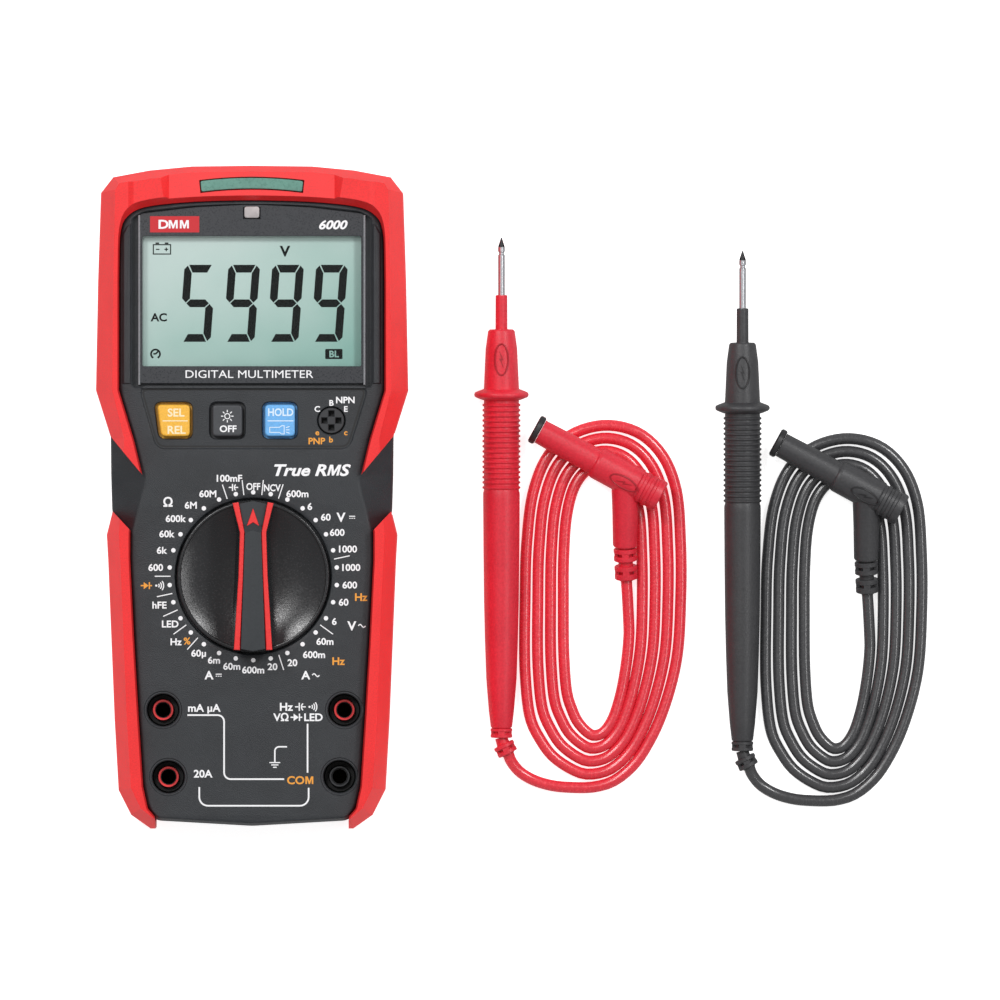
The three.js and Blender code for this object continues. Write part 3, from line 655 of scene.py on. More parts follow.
CERAMIC = moulded("fuse_ceramic", (232, 226, 212), 0.5, grain=0.4, depth=0.02)
CELL_JACKET = moulded("cell_jacket", (44, 50, 58), 0.3, grain=1.2, depth=0.01, mottle=0.15)
DIFFUSER = moulded("diffuser_plastic", (236, 240, 238), 0.5, grain=0.4, depth=0.01)
LIGHT_PIPE = moulded("light_pipe", (98, 146, 132), 0.3, grain=0.5, depth=0.006, mottle=0.1)
CLEAR_LENS = moulded("clear_lens", (186, 180, 180), 0.2, grain=1.2, depth=0.05, mottle=0.25)
LENS_BORDER = moulded("lens_border", (52, 54, 58), 0.3, grain=0.3, depth=0.002, mottle=0.02)
# Pale grey for the display's side edges: a painted highlight line.
LENS_EDGE_HIGHLIGHT = moulded("lens_highlight_edge", (128, 130, 134), 0.3, grain=0.3, depth=0.006)
# Near-black for the socket wells and the key recess border: painted shade where they lie in shade.
SHADE_BLACK = moulded("painted_shade_black", (24, 24, 25), 0.55, grain=0.3, depth=0.01)
GRIPS = {
    "red": moulded("red_grip", (216, 40, 58), 0.4, grain=0.45, depth=0.06, mottle=0.05),
    "black": moulded("black_grip", (59, 59, 61), 0.42, grain=0.45, depth=0.06, mottle=0.06),
}
# Darker copies of the grip colours for the emblems: painted shade standing in for the shadow in the emblems'
# lines.
EMBLEM_PAINTED_SHADE = {
    "red": moulded("red_emblem_painted_shade", (168, 22, 38), 0.45, grain=0.3, depth=0.01),
    "black": moulded("black_emblem_painted_shade", (34, 34, 36), 0.45, grain=0.3, depth=0.01),
}
CABLES = {
    "red": moulded("red_cable", (228, 46, 62), 0.25, 0.5, 0.001, 0.03, Specular_IOR_Level=0.9),
    "black": moulded("black_cable", (62, 62, 64), 0.25, 0.5, 0.001, 0.04, Specular_IOR_Level=0.9),
}
MOUTH_BLACK = moulded("plug_mouth", (38, 38, 40), 0.4, grain=0.3, depth=0.01)
STEEL = metal("steel", (206, 208, 212), 0.36)
# Steel darkened to near black for the probes' pointed ends: painted shade.
STEEL_PAINTED_SHADE = metal("steel_painted_shade", (66, 66, 68), 0.5)
BRASS = metal("brass", (206, 172, 92), 0.25)
# Brass darkened to near black: painted shade for the socket contacts deep in their bores.
BRASS_PAINTED_SHADE = metal("brass_painted_shade", (44, 36, 26), 0.55)
LCD_FILM = lcd_film()
BOARD_MASK = board_material()
DISPLAY_GLASS = glass("display_glass", (70, 84, 80), 0.05)
LCD_INK = ink("lcd_ink", (3, 4, 5), 0.95)
BADGE_RED = ink("badge_red", (204, 34, 44))
WHITE_INK = ink("white_ink", (250, 250, 252))
ORANGE_INK = ink("orange_ink", (244, 164, 58))
CREAM_INK = ink("cream_ink", (255, 238, 196))
PALE_BLUE_INK = ink("pale_blue_ink", (222, 240, 255))

# ---- camera, floor and light -------------------------------------------------------------------

MIDDLE = (0.07, 0, 0.03)
VIEW_CENTRE = (69.0, -0.8)
VIEW_WIDTH = 278.0
VIEW_LENS = 1200.0
SENSOR = 36.0


def camera():
    data = bpy.data.cameras.new("camera")
    data.sensor_width = SENSOR
    data.lens = VIEW_LENS
    data.clip_start = 0.5
    data.clip_end = 200
    eye = bpy.data.objects.new("camera", data)
    bpy.context.scene.collection.objects.link(eye)
    distance = VIEW_WIDTH * VIEW_LENS / SENSOR
    eye.location = [c * MM for c in (*VIEW_CENTRE, DECK_Z + distance)]
    bpy.context.scene.camera = eye


def floor():
    half = 60.0
    mesh = bpy.data.meshes.new("floor")
    mesh.from_pydata(level(rectangle(-half, half, -half, half), 0), [], [(0, 1, 2, 3)])
    ground = bpy.data.objects.new("floor", mesh)
    ground.location.z = -0.05 * MM
    bpy.context.scene.collection.objects.link(ground)
    finish = Finish("floor", 0.8)
    finish.tint(finish.noise(400, 2), [(0.3, [0.93] * 3), (0.7, [0.96] * 3)])
    finish.shader.inputs["Emission Color"].default_value = (1, 1, 1, 1)
    finish.shader.inputs["Emission Strength"].default_value = 0.75
    mesh.materials.append(finish.material)
    ground.visible_glossy = False


def area_light(name, place, size, power):
    """A lamp aimed at the middle of the object. size is its reach along Y and across that."""
    data = bpy.data.lights.new(name, "AREA")
    data.shape = "ELLIPSE"
    data.size, data.size_y = size
    data.energy = power
    lamp = bpy.data.objects.new(name, data)
    lamp.location = place
    lamp.visible_camera = False
    lamp.rotation_euler = (Vector(MIDDLE) - Vector(place)).to_track_quat("-Z", "Y").to_euler()
    bpy.context.scene.collection.objects.link(lamp)


def world():
    sky = bpy.data.worlds.new("studio")
    sky.use_nodes = True
    sky.node_tree.nodes["Background"].inputs["Color"].default_value = (1, 1, 1, 1)
    sky.node_tree.nodes["Background"].inputs["Strength"].default_value = 0.36
    bpy.context.scene.world = sky
    bpy.context.scene.view_settings.view_transform = "Standard"


camera()
floor()
world()
area_light("key_left", (-0.7, 0.8, 1.3), (0.4, 0.4), 8)
area_light("key_right", (0.9, 0.75, 1.3), (0.4, 0.4), 9)
area_light("top", (-0.25, 0.4, 1.6), (0.22, 0.22), 3.5)
area_light("strip", (0.95, 0.05, 1.2), (0.9, 0.15), 3)

# ---- cords ------------------------------------------------------------------------------------


def between(a, b, start, end, t):
    """The point that is at a when t is start and at b when t is end."""
    return a * ((end - t) / (end - start)) + b * ((t - start) / (end - start))


def smooth_span(p, samples):
    """Points of the centripetal Catmull-Rom curve from p[1] up to p[2], for four points p."""
    knots = [0.0]
    for a, b in zip(p, p[1:]):
        knots.append(knots[-1] + (b - a).length ** 0.5)
    span = []
    for k in range(samples):
        t = knots[1] + (knots[2] - knots[1]) * k / samples
        first = [between(p[i], p[i + 1], knots[i], knots[i + 1], t) for i in range(3)]
        second = [between(first[i], first[i + 1], knots[i], knots[i + 2], t) for i in range(2)]
        span.append(between(second[0], second[1], knots[1], knots[2], t))
    return span


def closed_curve(points, samples=24):
    """A smooth closed line through points, and the length along it up to each of its points."""
    count = len(points)
    dense = []
    for i in range(count):
        dense += smooth_span([Vector(points[(i + k - 1) % count]) for k in range(4)], samples)
    lengths = [0.0]
    for a, b in zip(dense, dense[1:] + dense[:1]):
        lengths.append(lengths[-1] + (b - a).length)
    return dense, lengths


OVAL, OVAL_LENGTHS = closed_curve(COIL_OVAL)


def oval_point(place):
    """The oval's point at a share of the way round it."""
    target = place * OVAL_LENGTHS[-1]
    low, high = 0, len(OVAL) - 1
    while low < high:
        middle = (low + high + 1) // 2
        if OVAL_LENGTHS[middle] <= target:
            low = middle
        else:
            high = middle - 1
    share = (target - OVAL_LENGTHS[low]) / (OVAL_LENGTHS[low + 1] - OVAL_LENGTHS[low])
    return OVAL[low].lerp(OVAL[(low + 1) % len(OVAL)], share)


def coil_point(turns):
    point = oval_point(turns % 1)
    shrink = [1 - COIL_PITCH * turns / half for half in COIL_HALF]
    x, y = [m + (c - m) * s for m, c, s in zip(COIL_MIDDLE, point, shrink)]
    return Vector((x, y, COIL_Z))


def lead_route():
    """The cord's centreline from the probe's strain relief, round the coil, up into the plug."""
    steps_per_turn = 120
    steps = round(COIL_TURNS * steps_per_turn)
    coil = [coil_point(COIL_TURNS * k / steps) for k in range(2, steps - 3)]
    tail = [Vector((71.25, -71.4, 3.65)), *[Vector(point) for point in TAIL_ROUTE[:-1]]]
    smooth_tail = []
    chain = [tail[0] * 2 - tail[1], *tail, coil[0], coil[4]]
    for i in range(len(chain) - 3):
        smooth_tail += smooth_span(chain[i:i + 4], 5)
    lead_in = (coil[-1] - coil[-2]).normalized()
    rise = []
    rise_steps = 8
    for k in range(1, rise_steps + 1):
        t = k / rise_steps
        swing = coil[-1] + lead_in * 3 * t
        rise.append(swing.lerp(PLUG_RELIEF_END, t * t * (3 - 2 * t)))
    return [*smooth_tail, *coil, *rise]


ROUTE = lead_route()


def cord_piece(colour, shift):
    """The cord as a round tube along its whole route."""
    name = f"{colour}_cord"
    curve = bpy.data.curves.new(name, "CURVE")
    curve.dimensions = "3D"
    curve.bevel_depth = CORD_RADIUS * MM
    curve.bevel_resolution = 5
    curve.use_fill_caps = True
    spline = curve.splines.new("POLY")
    spline.points.add(len(ROUTE) - 1)
    for vertex, point in zip(spline.points, ROUTE):
        vertex.co = (*((point + shift) * MM), 1)
    spline.use_smooth = True
    curve.materials.append(CABLES[colour])
    piece = bpy.data.objects.new(name, curve)
    bpy.context.scene.collection.objects.link(piece)
    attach(piece, f"{colour}_lead")
    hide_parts(f"{colour}_cable_tail", f"{colour}_cable_coil")
    return piece


# ---- leads ------------------------------------------------------------------------------------


def slotted_relief(start, end, radius, end_radius, bands, core):
    """A strain relief: stiff bands on a thinner core, joined in pairs by webs with slots between."""
    length = (end - start).length
    shapes = [turned([(0, 0), (core, 0), (core * 0.94, length), (0, length)], 24)]
    for low, high in bands:
        outer = radius + (end_radius - radius) * low / length
        shapes.append(turned([(0, low), (outer - 0.2, low), (outer, low + 0.2), (outer, high - 0.2),
                              (outer - 0.2, high), (0, high)], 40))
    web = rectangle(-0.9, 0.9, -0.5, 0.5)
    reach = (radius + end_radius) / 2 - 0.62
    for (low, _), (_, high) in zip(bands[::2], bands[1::2]):
        for side in range(4):
            bar = skin([level(web, low + 0.3), level(web, high - 0.3)])
            turn = Matrix.Rotation(math.pi / 2 * side, 4, "Z") @ Matrix.Translation((0, reach, 0))
            shapes.append(transformed(bar, turn))
    return transformed(joined(*shapes), axis_matrix(start, end))


def handle_profile():
    """Radius and distance from the rear end of the probe's handle: grip, ribs, guard, nose and sleeve."""
    grip = [(0, 0), (2.6, 0), (3, 0.4), (3.55, 5), (4.25, 13.9), (4.6, 24), (4.87, 35), (5.03, 50),
            (5.12, 64), (5.12, 65.8), (4.9, 66.4)]
    ribs = []
    rib_count, rib_pitch, first_rib = 17, 1.44, 66.8
    for k in range(rib_count):
        low = first_rib + k * rib_pitch
        ribs += [(4.9, low), (5.25, low + 0.2), (5.35, low + 0.45), (5.25, low + 0.7), (4.9, low + 0.9)]
    guard = [(4.9, 91.6), (5.6, 91.8), (7.1, 92.4), (7.5, 92.7), (7.62, 93.2), (7.5, 93.7), (7.1, 94),
             (5.5, 94.6)]
    nose = [(4.95, 94.8), (4.9, 95.3), (4.42, 105.9), (3.75, 110.9), (3.3, 111.4)]
    sleeve = [(1.75, 111.45), (1.7, 111.6), (1.67, 120.7), (1.5, 121), (1.05, 121), (1.05, 110), (0, 110)]
    return [*grip, *ribs, *guard, *nose, *sleeve]


NOSE_MIDDLE = 102.6           # the emblem's place along the probe
PLUG_BODY_RADIUS = 4.6
PLUG_EMBLEM_TURN = math.radians(18)


def nose_height(x, z):
    radius = 4.9 + (4.42 - 4.9) * (z + NOSE_MIDDLE - 95.3) / 10.6
    return math.sqrt(max(radius ** 2 - x ** 2, 0.01))


def body_height(x, z):
    return math.sqrt(PLUG_BODY_RADIUS ** 2 - x ** 2)


def emblem(across, along, height_at, place):
    """A small bolt in an oval band, with its middle at a place along Z."""
    return shifted(joined(ellipse_band(across, along, 0.45, height_at), bolt_mark(height_at)), z=place)


def bolt_mark(height_at):
    """A small raised zigzag inside an oval band."""
    zigzag = [(0.55, 2.3), (-0.6, -0.15), (0.05, -0.15), (-0.55, -2.3), (0.6, 0.25), (-0.05, 0.25)]
    rings = [[(x, height_at(x, z) + rise, z) for x, z in zigzag] for rise in (-0.3, 0.2)]
    return skin(rings)


def probe_point(y):
    return Vector((PROBE_X, y, PROBE_GUARD[1] + (y - PROBE_GUARD[0]) * PROBE_SLOPE))


def lead_piece(name, shape, matrix, material, nodes=(), sharp=32):
    """One piece of a lead. Its name starts with the lead's colour, and its nodes' names too."""
    colour = name.split("_")[0]
    nodes = [f"{colour}_{node}" for node in nodes]
    return make(name, transformed(shape, matrix), material, f"{colour}_lead", nodes, sharp)


def probe(colour, shift):
    move = Matrix.Translation(shift)
    axis = move @ axis_matrix(probe_point(PROBE_REAR_Y), probe_point(0))
    grip, grip_slot = GRIPS[colour], f"{colour}_grip"
    handle = turned(handle_profile(), 64)
    mark = emblem(2.1, 4.6, nose_height, NOSE_MIDDLE + 0.6)
    lead_piece(f"{colour}_handle", handle, axis, grip, ["probe_handle"], sharp=40)
    # The emblem's darker colour is painted shade.
    lead_piece(f"{colour}_handle_emblem", mark, axis, EMBLEM_PAINTED_SHADE[colour])
    rod = [(0, 110.4), (0.95, 110.4), (0.95, 132.2)]
    neck = [(0.7, 132.4), (0.7, 132.9), (0.97, 133.2), (0.97, 134.4), (0.85, 134.5), (0, 134.5)]
    point = turned([(0, 134.4), (0.95, 134.55), (0.5, 135.9), (0.15, 137), (0, 137.1)], 32)
    # The point's dark steel is painted shade.
    lead_piece(f"{colour}_point", point, axis, STEEL_PAINTED_SHADE)
    lead_piece(f"{colour}_tip", turned([*rod, *neck], 32), axis, STEEL, ["probe_tip"])
    start = probe_point(PROBE_REAR_Y - 0.05)
    collar_end = probe_point(PROBE_REAR_Y - 2.7)
    end = Vector(TAIL_ROUTE[0])
    turn = end + (collar_end - end) * 0.68 + Vector((-0.25, 0, 0))
    collar = slotted_relief(start, collar_end, 3.05, 3, [(0, 0.9), (1.6, 2.6)], 2.3)
    neck = limb([(collar_end, 1.8), (turn, 1.8), (end, 1.75)], 32)
    cuff = slotted_relief(turn, end, 3.0, 2.75, [(0.3, 1.4), (2.1, 3.3)], 1.9)
    lead_piece(f"{colour}_handle_relief", joined(collar, neck, cuff), move, grip, ["probe_relief"])


def plug(colour, shift):
    """The angled plug: shrouded contact, body, side arm and slotted strain relief."""
    move = Matrix.Translation(shift)
    axis = move @ axis_matrix(PLUG_MOUTH, PLUG_BACK)
    grip, grip_slot = GRIPS[colour], f"{colour}_grip"
    length = (PLUG_BACK - PLUG_MOUTH).length
    shroud = [(0, 17.5), (2.75, 17.5), (2.75, 1.4), (3.5, 1.4), (3.5, 2), (3.62, 8), (3.78, 18.6), (3.9, 19),
              (4.3, 19.2)]
    body = [(4.55, 19.6), (PLUG_BODY_RADIUS, 20.2), (PLUG_BODY_RADIUS, length - 7.4)]
    groove_radius, groove_count, groove_pitch = 4.25, 3, 2
    for k in range(groove_count):
        low = length - 7 + k * groove_pitch
        body += [(groove_radius, low), (groove_radius, low + 0.7), (PLUG_BODY_RADIUS, low + 0.9),
                 (PLUG_BODY_RADIUS, low + 1.7)]
    body += [(4.45, length - 0.3), (4.1, length), (0, length)]
    arm_length = (PLUG_ARM_END - PLUG_ARM).length
    arm = turned([(0, 0), (3.95, 0), (3.6, 10), (3.4, arm_length - 0.5), (3.1, arm_length), (0, arm_length)])
    arm = transformed(arm, axis_matrix(PLUG_ARM, PLUG_ARM_END))
    barrel = transformed(turned([*shroud, *body], 56), axis_matrix(PLUG_MOUTH, PLUG_BACK))
    mark = transformed(emblem(1.9, 4.4, body_height, 28.7), Matrix.Rotation(PLUG_EMBLEM_TURN, 4, "Z"))
    mouth = ring_of([(2.75, -0.5), (3.7, -0.5), (4.15, -0.1), (4.15, 1.0), (3.8, 1.35), (2.75, 1.35)])
    bands = [(0.5, 1.8), (2.6, 4), (5.4, 6.8), (7.6, 9.2)]
    relief = slotted_relief(PLUG_ARM_END, PLUG_RELIEF_END, 3.25, 3.15, bands, 2.1)
    pin = turned([(0, 2.4), (1.2, 2.4), (1.6, 2.9), (2, 4.2), (2, 14), (1.7, 15), (1.7, 17.3), (0, 17.3)], 32)
    return [
        lead_piece(f"{colour}_plug", joined(barrel, arm), move, grip, ["plug_body"], sharp=40),
        lead_piece(f"{colour}_plug_emblem", mark, axis, EMBLEM_PAINTED_SHADE[colour]),
        lead_piece(f"{colour}_plug_mouth", mouth, axis, MOUTH_BLACK),
        lead_piece(f"{colour}_plug_sleeve", relief, move, grip, ["plug_relief"]),
        lead_piece(f"{colour}_plug_pin", pin, axis, BRASS, ["plug_contact"]),
    ]


def lead(colour, shift):
    cord = cord_piece(colour, shift)
    probe(colour, shift)
    on_cord = plug(colour, shift)


lead("red", Vector((0, 0, 0)))
lead("black", BLACK_LEAD_SHIFT)

# ---- front case -------------------------------------------------------------------------------

CASE_OUTLINE = mirrored([(x, y) for x, y, _, _ in FLANK])
DECK_OUTLINE = mirrored([(x, y) for _, _, x, y in FLANK])
CORNER_SOFTNESS = [6 if y > 70 else 1.2 for _, y in DECK_OUTLINE]
CASE_SOFT = rounded(CASE_OUTLINE, CORNER_SOFTNESS)
DECK_SOFT = rounded(DECK_OUTLINE, CORNER_SOFTNESS)
KEY_PANEL = rounded([(-26.4, 13.6), (27, 13.6), (32.2, 30.4), (-31.2, 30.4)], 2.4)
KEYS = {
    "select_button": rounded([(-25.4, KEY_LOW), (-17, KEY_LOW), (-17, KEY_HIGH), (-26.6, KEY_HIGH)], 1.5),
    "backlight_button": rounded(rectangle(-11.2, -2.4, KEY_LOW, KEY_HIGH), 1.5),
    "hold_button": rounded(rectangle(3.4, 12.2, KEY_LOW, KEY_HIGH), 1.5),
}
INDICATOR_BOX = (-2.1, 2.1, 77.6, 80.8)
LENS_OUTLINE = both_sides([(LENS_HALF, 31.6), (LENS_HALF, 78.8), (16, 80.6), (2.4, 81.3)])
POCKET_OUTLINE = both_sides([(33.2, 30.6), (33.2, 77.4), (30, 79.3), (16, 80.9), (2.7, 81.6)])


def front_case():
    """A shell with the knob well, lens pocket, key recess and four socket wells sunk into its deck."""
    outer = [
        *steps_of(DECK_SOFT, [(-0.7, DECK_Z), (-0.25, DECK_Z - 0.12)]),
        level(blended(DECK_SOFT, CASE_SOFT, 0.05), DECK_Z - 0.5),
        level(blended(DECK_SOFT, CASE_SOFT, 0.93), SHOULDER_Z + 0.6),
        level(CASE_SOFT, SHOULDER_Z - 0.8),
        level(CASE_SOFT, CASE_SPLIT_Z + 0.9),
        *steps_of(CASE_SOFT, [(-0.3, CASE_SPLIT_Z + 0.55), (-0.3, CASE_SPLIT_Z + GAP),
                              (-WALL, CASE_SPLIT_Z + GAP), (-WALL, SHOULDER_Z - 1)]),
        level(offset(DECK_SOFT, -0.8), DECK_UNDER_Z),
    ]
    knob_well = channel([
        (KNOB_WELL + 1.5, DECK_Z), (KNOB_WELL + 0.35, DECK_Z - 0.35), (KNOB_WELL, DECK_Z - 0.9),
        (KNOB_WELL, 43.5), (5.3, 43.5), (5.3, 41.3), (KNOB_WELL + 2, 41.3), (KNOB_WELL + 2, DECK_UNDER_Z),
    ], *KNOB)
    mouth = [(5.35, DECK_Z), (5.1, DECK_Z - 0.3), (4.75, DECK_Z - 0.3), (JACK_WELL, DECK_Z - 0.6),
             (JACK_WELL, 41.5)]
    jack_wells = [channel(mouth, x, y) for x, y in JACKS.values()]
    panel = steps_of(KEY_PANEL, [(0.55, DECK_Z), (0.25, DECK_Z - 0.15), (0, KEY_PANEL_Z + 0.1),
                                 (-0.3, KEY_PANEL_Z)])
    keys = [steps_of(outline, [(0.75, KEY_PANEL_Z), (0.5, KEY_PANEL_Z - 0.25), (0.45, DECK_UNDER_Z)])
            for outline in KEYS.values()]
    socket = channel([(4.1, KEY_PANEL_Z), (3.9, KEY_PANEL_Z - 0.2), (3.9, DECK_UNDER_Z)], *SOCKET)
    pocket = steps_of(rounded(POCKET_OUTLINE, 0.8), [(0.35, DECK_Z), (0, DECK_Z - 0.3), (0, LENS_POCKET_Z)])
    window = steps_of(rounded(rectangle(*WINDOW), 0.4), [(0, LENS_POCKET_Z), (0, DECK_UNDER_Z)])
    through = [knob_well, *jack_wells, *keys, socket, window]
    deck = face_with_holes([outer[0], *[c[0] for c in (knob_well, *jack_wells, panel, pocket)]])
    panel_floor = face_with_holes([panel[-1], *[c[0] for c in (*keys, socket)]])
    ledge = face_with_holes([pocket[-1], window[0]])
    bores = [channel([(JACK_WELL, DECK_UNDER_Z)], x, y) for x, y in JACKS.values()]
    under = face_with_holes([outer[-1], *[c[-1] for c in (knob_well, *keys, socket, window, *bores)]])
    walls = [skin(rings, False, False) for rings in (outer, panel, pocket, *through)]
    tube_top = DECK_UNDER_Z - 0.1
    tube = ring_of([(JACK_WELL, 34.9), (5.6, 34.9), (5.6, tube_top), (JACK_WELL, tube_top)])
    tubes = [shifted(tube, x, y) for x, y in JACKS.values()]
    return joined(deck, panel_floor, ledge, under, *walls, *tubes)


def grip_strip(side):
    """The rounded rail between the display pocket and the bumper."""
    strip = [(33.6, 31.5), (35.9, 31.5), (35.9, 73.2), (34.6, 75.4), (33.6, 76)]
    outline = strip if side > 0 else [(-x, y) for x, y in reversed(strip)]
    return rounded_slab(outline, DECK_Z - 0.5, DECK_Z + 0.6, 0.6)


def rear_case():
    """The back: a tray with the battery bay, stand pocket and screw wells."""
    back = offset(CASE_SOFT, -1.9)
    floor_z = 6.2
    outer = [
        level(back, 0),
        *steps_of(CASE_SOFT, [(-1.2, 0.25), (-0.35, 1.1)]),
        level(CASE_SOFT, 2.2),
        level(CASE_SOFT, CASE_SPLIT_Z - 0.6),
        *steps_of(CASE_SOFT, [(-0.3, CASE_SPLIT_Z - 0.25), (-0.3, CASE_SPLIT_Z), (-WALL, CASE_SPLIT_Z),
                              (-WALL, floor_z)]),
    ]
    half, notch = 24.4, 9
    stand = rounded([(-half, 7.4), (-notch, 7.4), (-notch, 4.6), (notch, 4.6), (notch, 7.4), (half, 7.4),
                     (half, 65), (-half, 65)], 1)
    stand_pocket = steps_of(stand, [(0.5, 0), (0, 0.5), (0, 3.8)])
    door = rounded(rectangle(-31.3, 31.3, -70.3, -2.1), 1.5)
    bay = rounded(rectangle(-30, 30, -58, -5), 1.5)
    doorway = [*steps_of(door, [(0.4, 0), (0, 0.4), (0, 2.7)]), *steps_of(bay, [(0, 2.7), (0, floor_z)])]
    wells = [channel([(3.5, 0), (3.1, 0.4), (3.1, 12), (1.7, 12), (1.7, CASE_SPLIT_Z), (3.9, CASE_SPLIT_Z),
                      (3.9, floor_z)], x, y) for x, y in SCREWS]
    through = [doorway, *wells]
    base = face_with_holes([outer[0], *[c[0] for c in (stand_pocket, *through)]])
    inside = face_with_holes([outer[-1], *[c[-1] for c in through]])
    walls = [skin(rings, False, False) for rings in (outer, *through)]
    return joined(base, inside, skin(stand_pocket, False, True), *walls)


make("front_shell", joined(front_case(), grip_strip(1), grip_strip(-1)), CHARCOAL, "meter",
     ["front_case"])
make("rear_shell", rear_case(), CHARCOAL, "meter", ["rear_case"])

# ---- bumpers ----------------------------------------------------------------------------------

BUMPER_OUTLINE = mirrored([(x, y) for x, y, _, _ in BUMPER_FLANK])
CREST_OUTLINE = mirrored([(x, y) for _, _, x, y in BUMPER_FLANK])
FAR = 120                     # beyond the meter on every side
PAD_Z = 50.7                  # the two raised pads of the upper bumper
UPPER_REGION = both_sides([(29.9, 5.6), (38.9, 16.4), (60, 41.7), (60, FAR)])
LOWER_REGION = [(26.9, -100), (60, -100), (60, 18.6), (33.5, -9.5), (26.9, -90)]


def bumper_envelope():
    crest = offset(CREST_OUTLINE, -0.3)
    return skin([level(offset(BUMPER_OUTLINE, -2.2), 0.7), level(offset(BUMPER_OUTLINE, -0.7), 1.8),
                 level(BUMPER_OUTLINE, 4), level(BUMPER_OUTLINE, 40.5),
                 level(blended(BUMPER_OUTLINE, CREST_OUTLINE, 0.1), 42.4), level(crest, PAD_Z)])


def case_hollow():
    """The space inside the bumpers that the case fills, with a slope at its mouth."""
    softness = [6 if y > 70 else 0.3 for _, y in DECK_OUTLINE]
    side = offset(CASE_OUTLINE, GAP)
    deck = offset(DECK_OUTLINE, GAP)
    mouth = offset(DECK_OUTLINE, [GAP + (1.9 if y > 78 else 0.45) for _, y in DECK_OUTLINE])
    sections = [(side, -1), (side, SHOULDER_Z), (deck, DECK_Z + 0.4), (mouth, RIM_Z + 0.1),
                (mouth, RIM_Z + 10)]
    return skin([level(rounded(outline, softness), z) for outline, z in sections])


def light_bar(growth):
    low = [(14 * k / 4, 85.75 - 0.9 * (k / 4) ** 2) for k in range(5)]
    high = [(14.3 * k / 4, 88.75 - 0.9 * (k / 4) ** 2) for k in range(4, -1, -1)]
    return offset(mirrored([*low, *high]), growth)


def upper_bumper():
    """An arch with a raised pad at each side of a middle that falls away towards the display end."""
    band = boolean(bumper_envelope(), "INTERSECT", prism(UPPER_REGION, -1, FAR))
    band = boolean(band, "DIFFERENCE", case_hollow())
    band = boolean(band, "DIFFERENCE", prism(rectangle(-FAR, FAR, -FAR, 72), RIM_Z, FAR))
    for side in (-1, 1):
        beside = [rectangle(*sorted((side * reach, side * FAR)), 71, FAR) for reach in (34.3, 32.6)]
        band = boolean(band, "DIFFERENCE", skin([level(beside[0], RIM_Z), level(beside[1], PAD_Z + 0.1)]))
    middle = []
    for half, rise in ((23, 0), (26.2, PAD_Z - RIM_Z + 2.4)):
        near, far = 50.1 + rise, 47.2 + rise
        middle.append([(-half, 78, near), (half, 78, near), (half, 96, far), (-half, 96, far)])
    band = boolean(band, "DIFFERENCE", skin(middle))
    return boolean(band, "DIFFERENCE", prism(light_bar(GAP), 44.5, FAR))


def lower_bumper():
    boot = boolean(bumper_envelope(), "INTERSECT", prism(LOWER_REGION, -1, FAR))
    boot = boolean(boot, "DIFFERENCE", prism(rectangle(-FAR, FAR, -FAR, FAR), RIM_Z, FAR))
    return boolean(boot, "DIFFERENCE", case_hollow())


RIGHT_BOOT = lower_bumper()
LEFT_BOOT = transformed(RIGHT_BOOT, Matrix.Diagonal((-1, 1, 1, 1)))
BOOTS = {"upper": upper_bumper(), "lower_left": LEFT_BOOT, "lower_right": RIGHT_BOOT}
for boot_name, boot_shape in BOOTS.items():
    boot_nodes = [f"{boot_name}_bumper"]
    make(f"{boot_name}_boot", boot_shape, BUMPER_RED, "meter", boot_nodes, bevel=0.3)
make("light_bar", rounded_slab(rounded(light_bar(0), 0.6), 45, RIM_Z - 1.4, 0.25), LIGHT_PIPE, "meter",
     ["ncv_light_pipe"])

# ---- display ----------------------------------------------------------------------------------

LENS_HIGH = 46.4
LCD_Z = 43.6


def lens_border():
    """The opaque printed border that frames the display window, just under the lens face."""
    left, right, bottom, top = INDICATOR_BOX
    notch = rectangle(left - 0.25, right + 0.25, bottom - 0.25, top - 0.25)
    window = rounded(rectangle(*WINDOW), 0.5)
    return plate(rounded(LENS_OUTLINE, 0.8), [window, notch], LENS_POCKET_Z + 0.1, LENS_HIGH, 0.12)


def lens_highlight_edge():
    """A pale edge down each side of the display: its pale grey is a painted highlight."""
    bars = []
    for side in (-1, 1):
        outline = rectangle(*sorted((side * (LENS_HALF - 0.1), side * (LENS_HALF + 0.5))), 31.2, 78.4)
        bars.append(rounded_slab(outline, LENS_POCKET_Z + 0.05, LENS_HIGH + 0.35, 0.2))
    return joined(*bars)


def lens_pane():
    """The clear pane that fills the window."""
    return rounded_slab(rounded(rectangle(-30.3, 30.3, 36.5, 72.5), 0.4), 45.2, LENS_HIGH - 0.1, 0.1)


def indicator():
    return rounded_slab(rounded(rectangle(*INDICATOR_BOX), 0.8), 45.2, DECK_Z + 0.3, 0.3)


def lcd():
    return rounded_slab(rectangle(-32, 32, 34, 74.6), 41.6, LCD_Z, 0.05)


make("display_highlight_edge", lens_highlight_edge(), LENS_EDGE_HIGHLIGHT, "meter")
make("display_border", lens_border(), LENS_BORDER, "meter", ["display_lens"])
make("display_pane", lens_pane(), DISPLAY_GLASS, "meter")
make("indicator", indicator(), CLEAR_LENS, "meter", ["indicator_lens"])
make("lcd", lcd(), LCD_FILM, "meter", ["lcd_panel"])


DIGITS = {"5": "afgcd", "9": "abcdfg"}


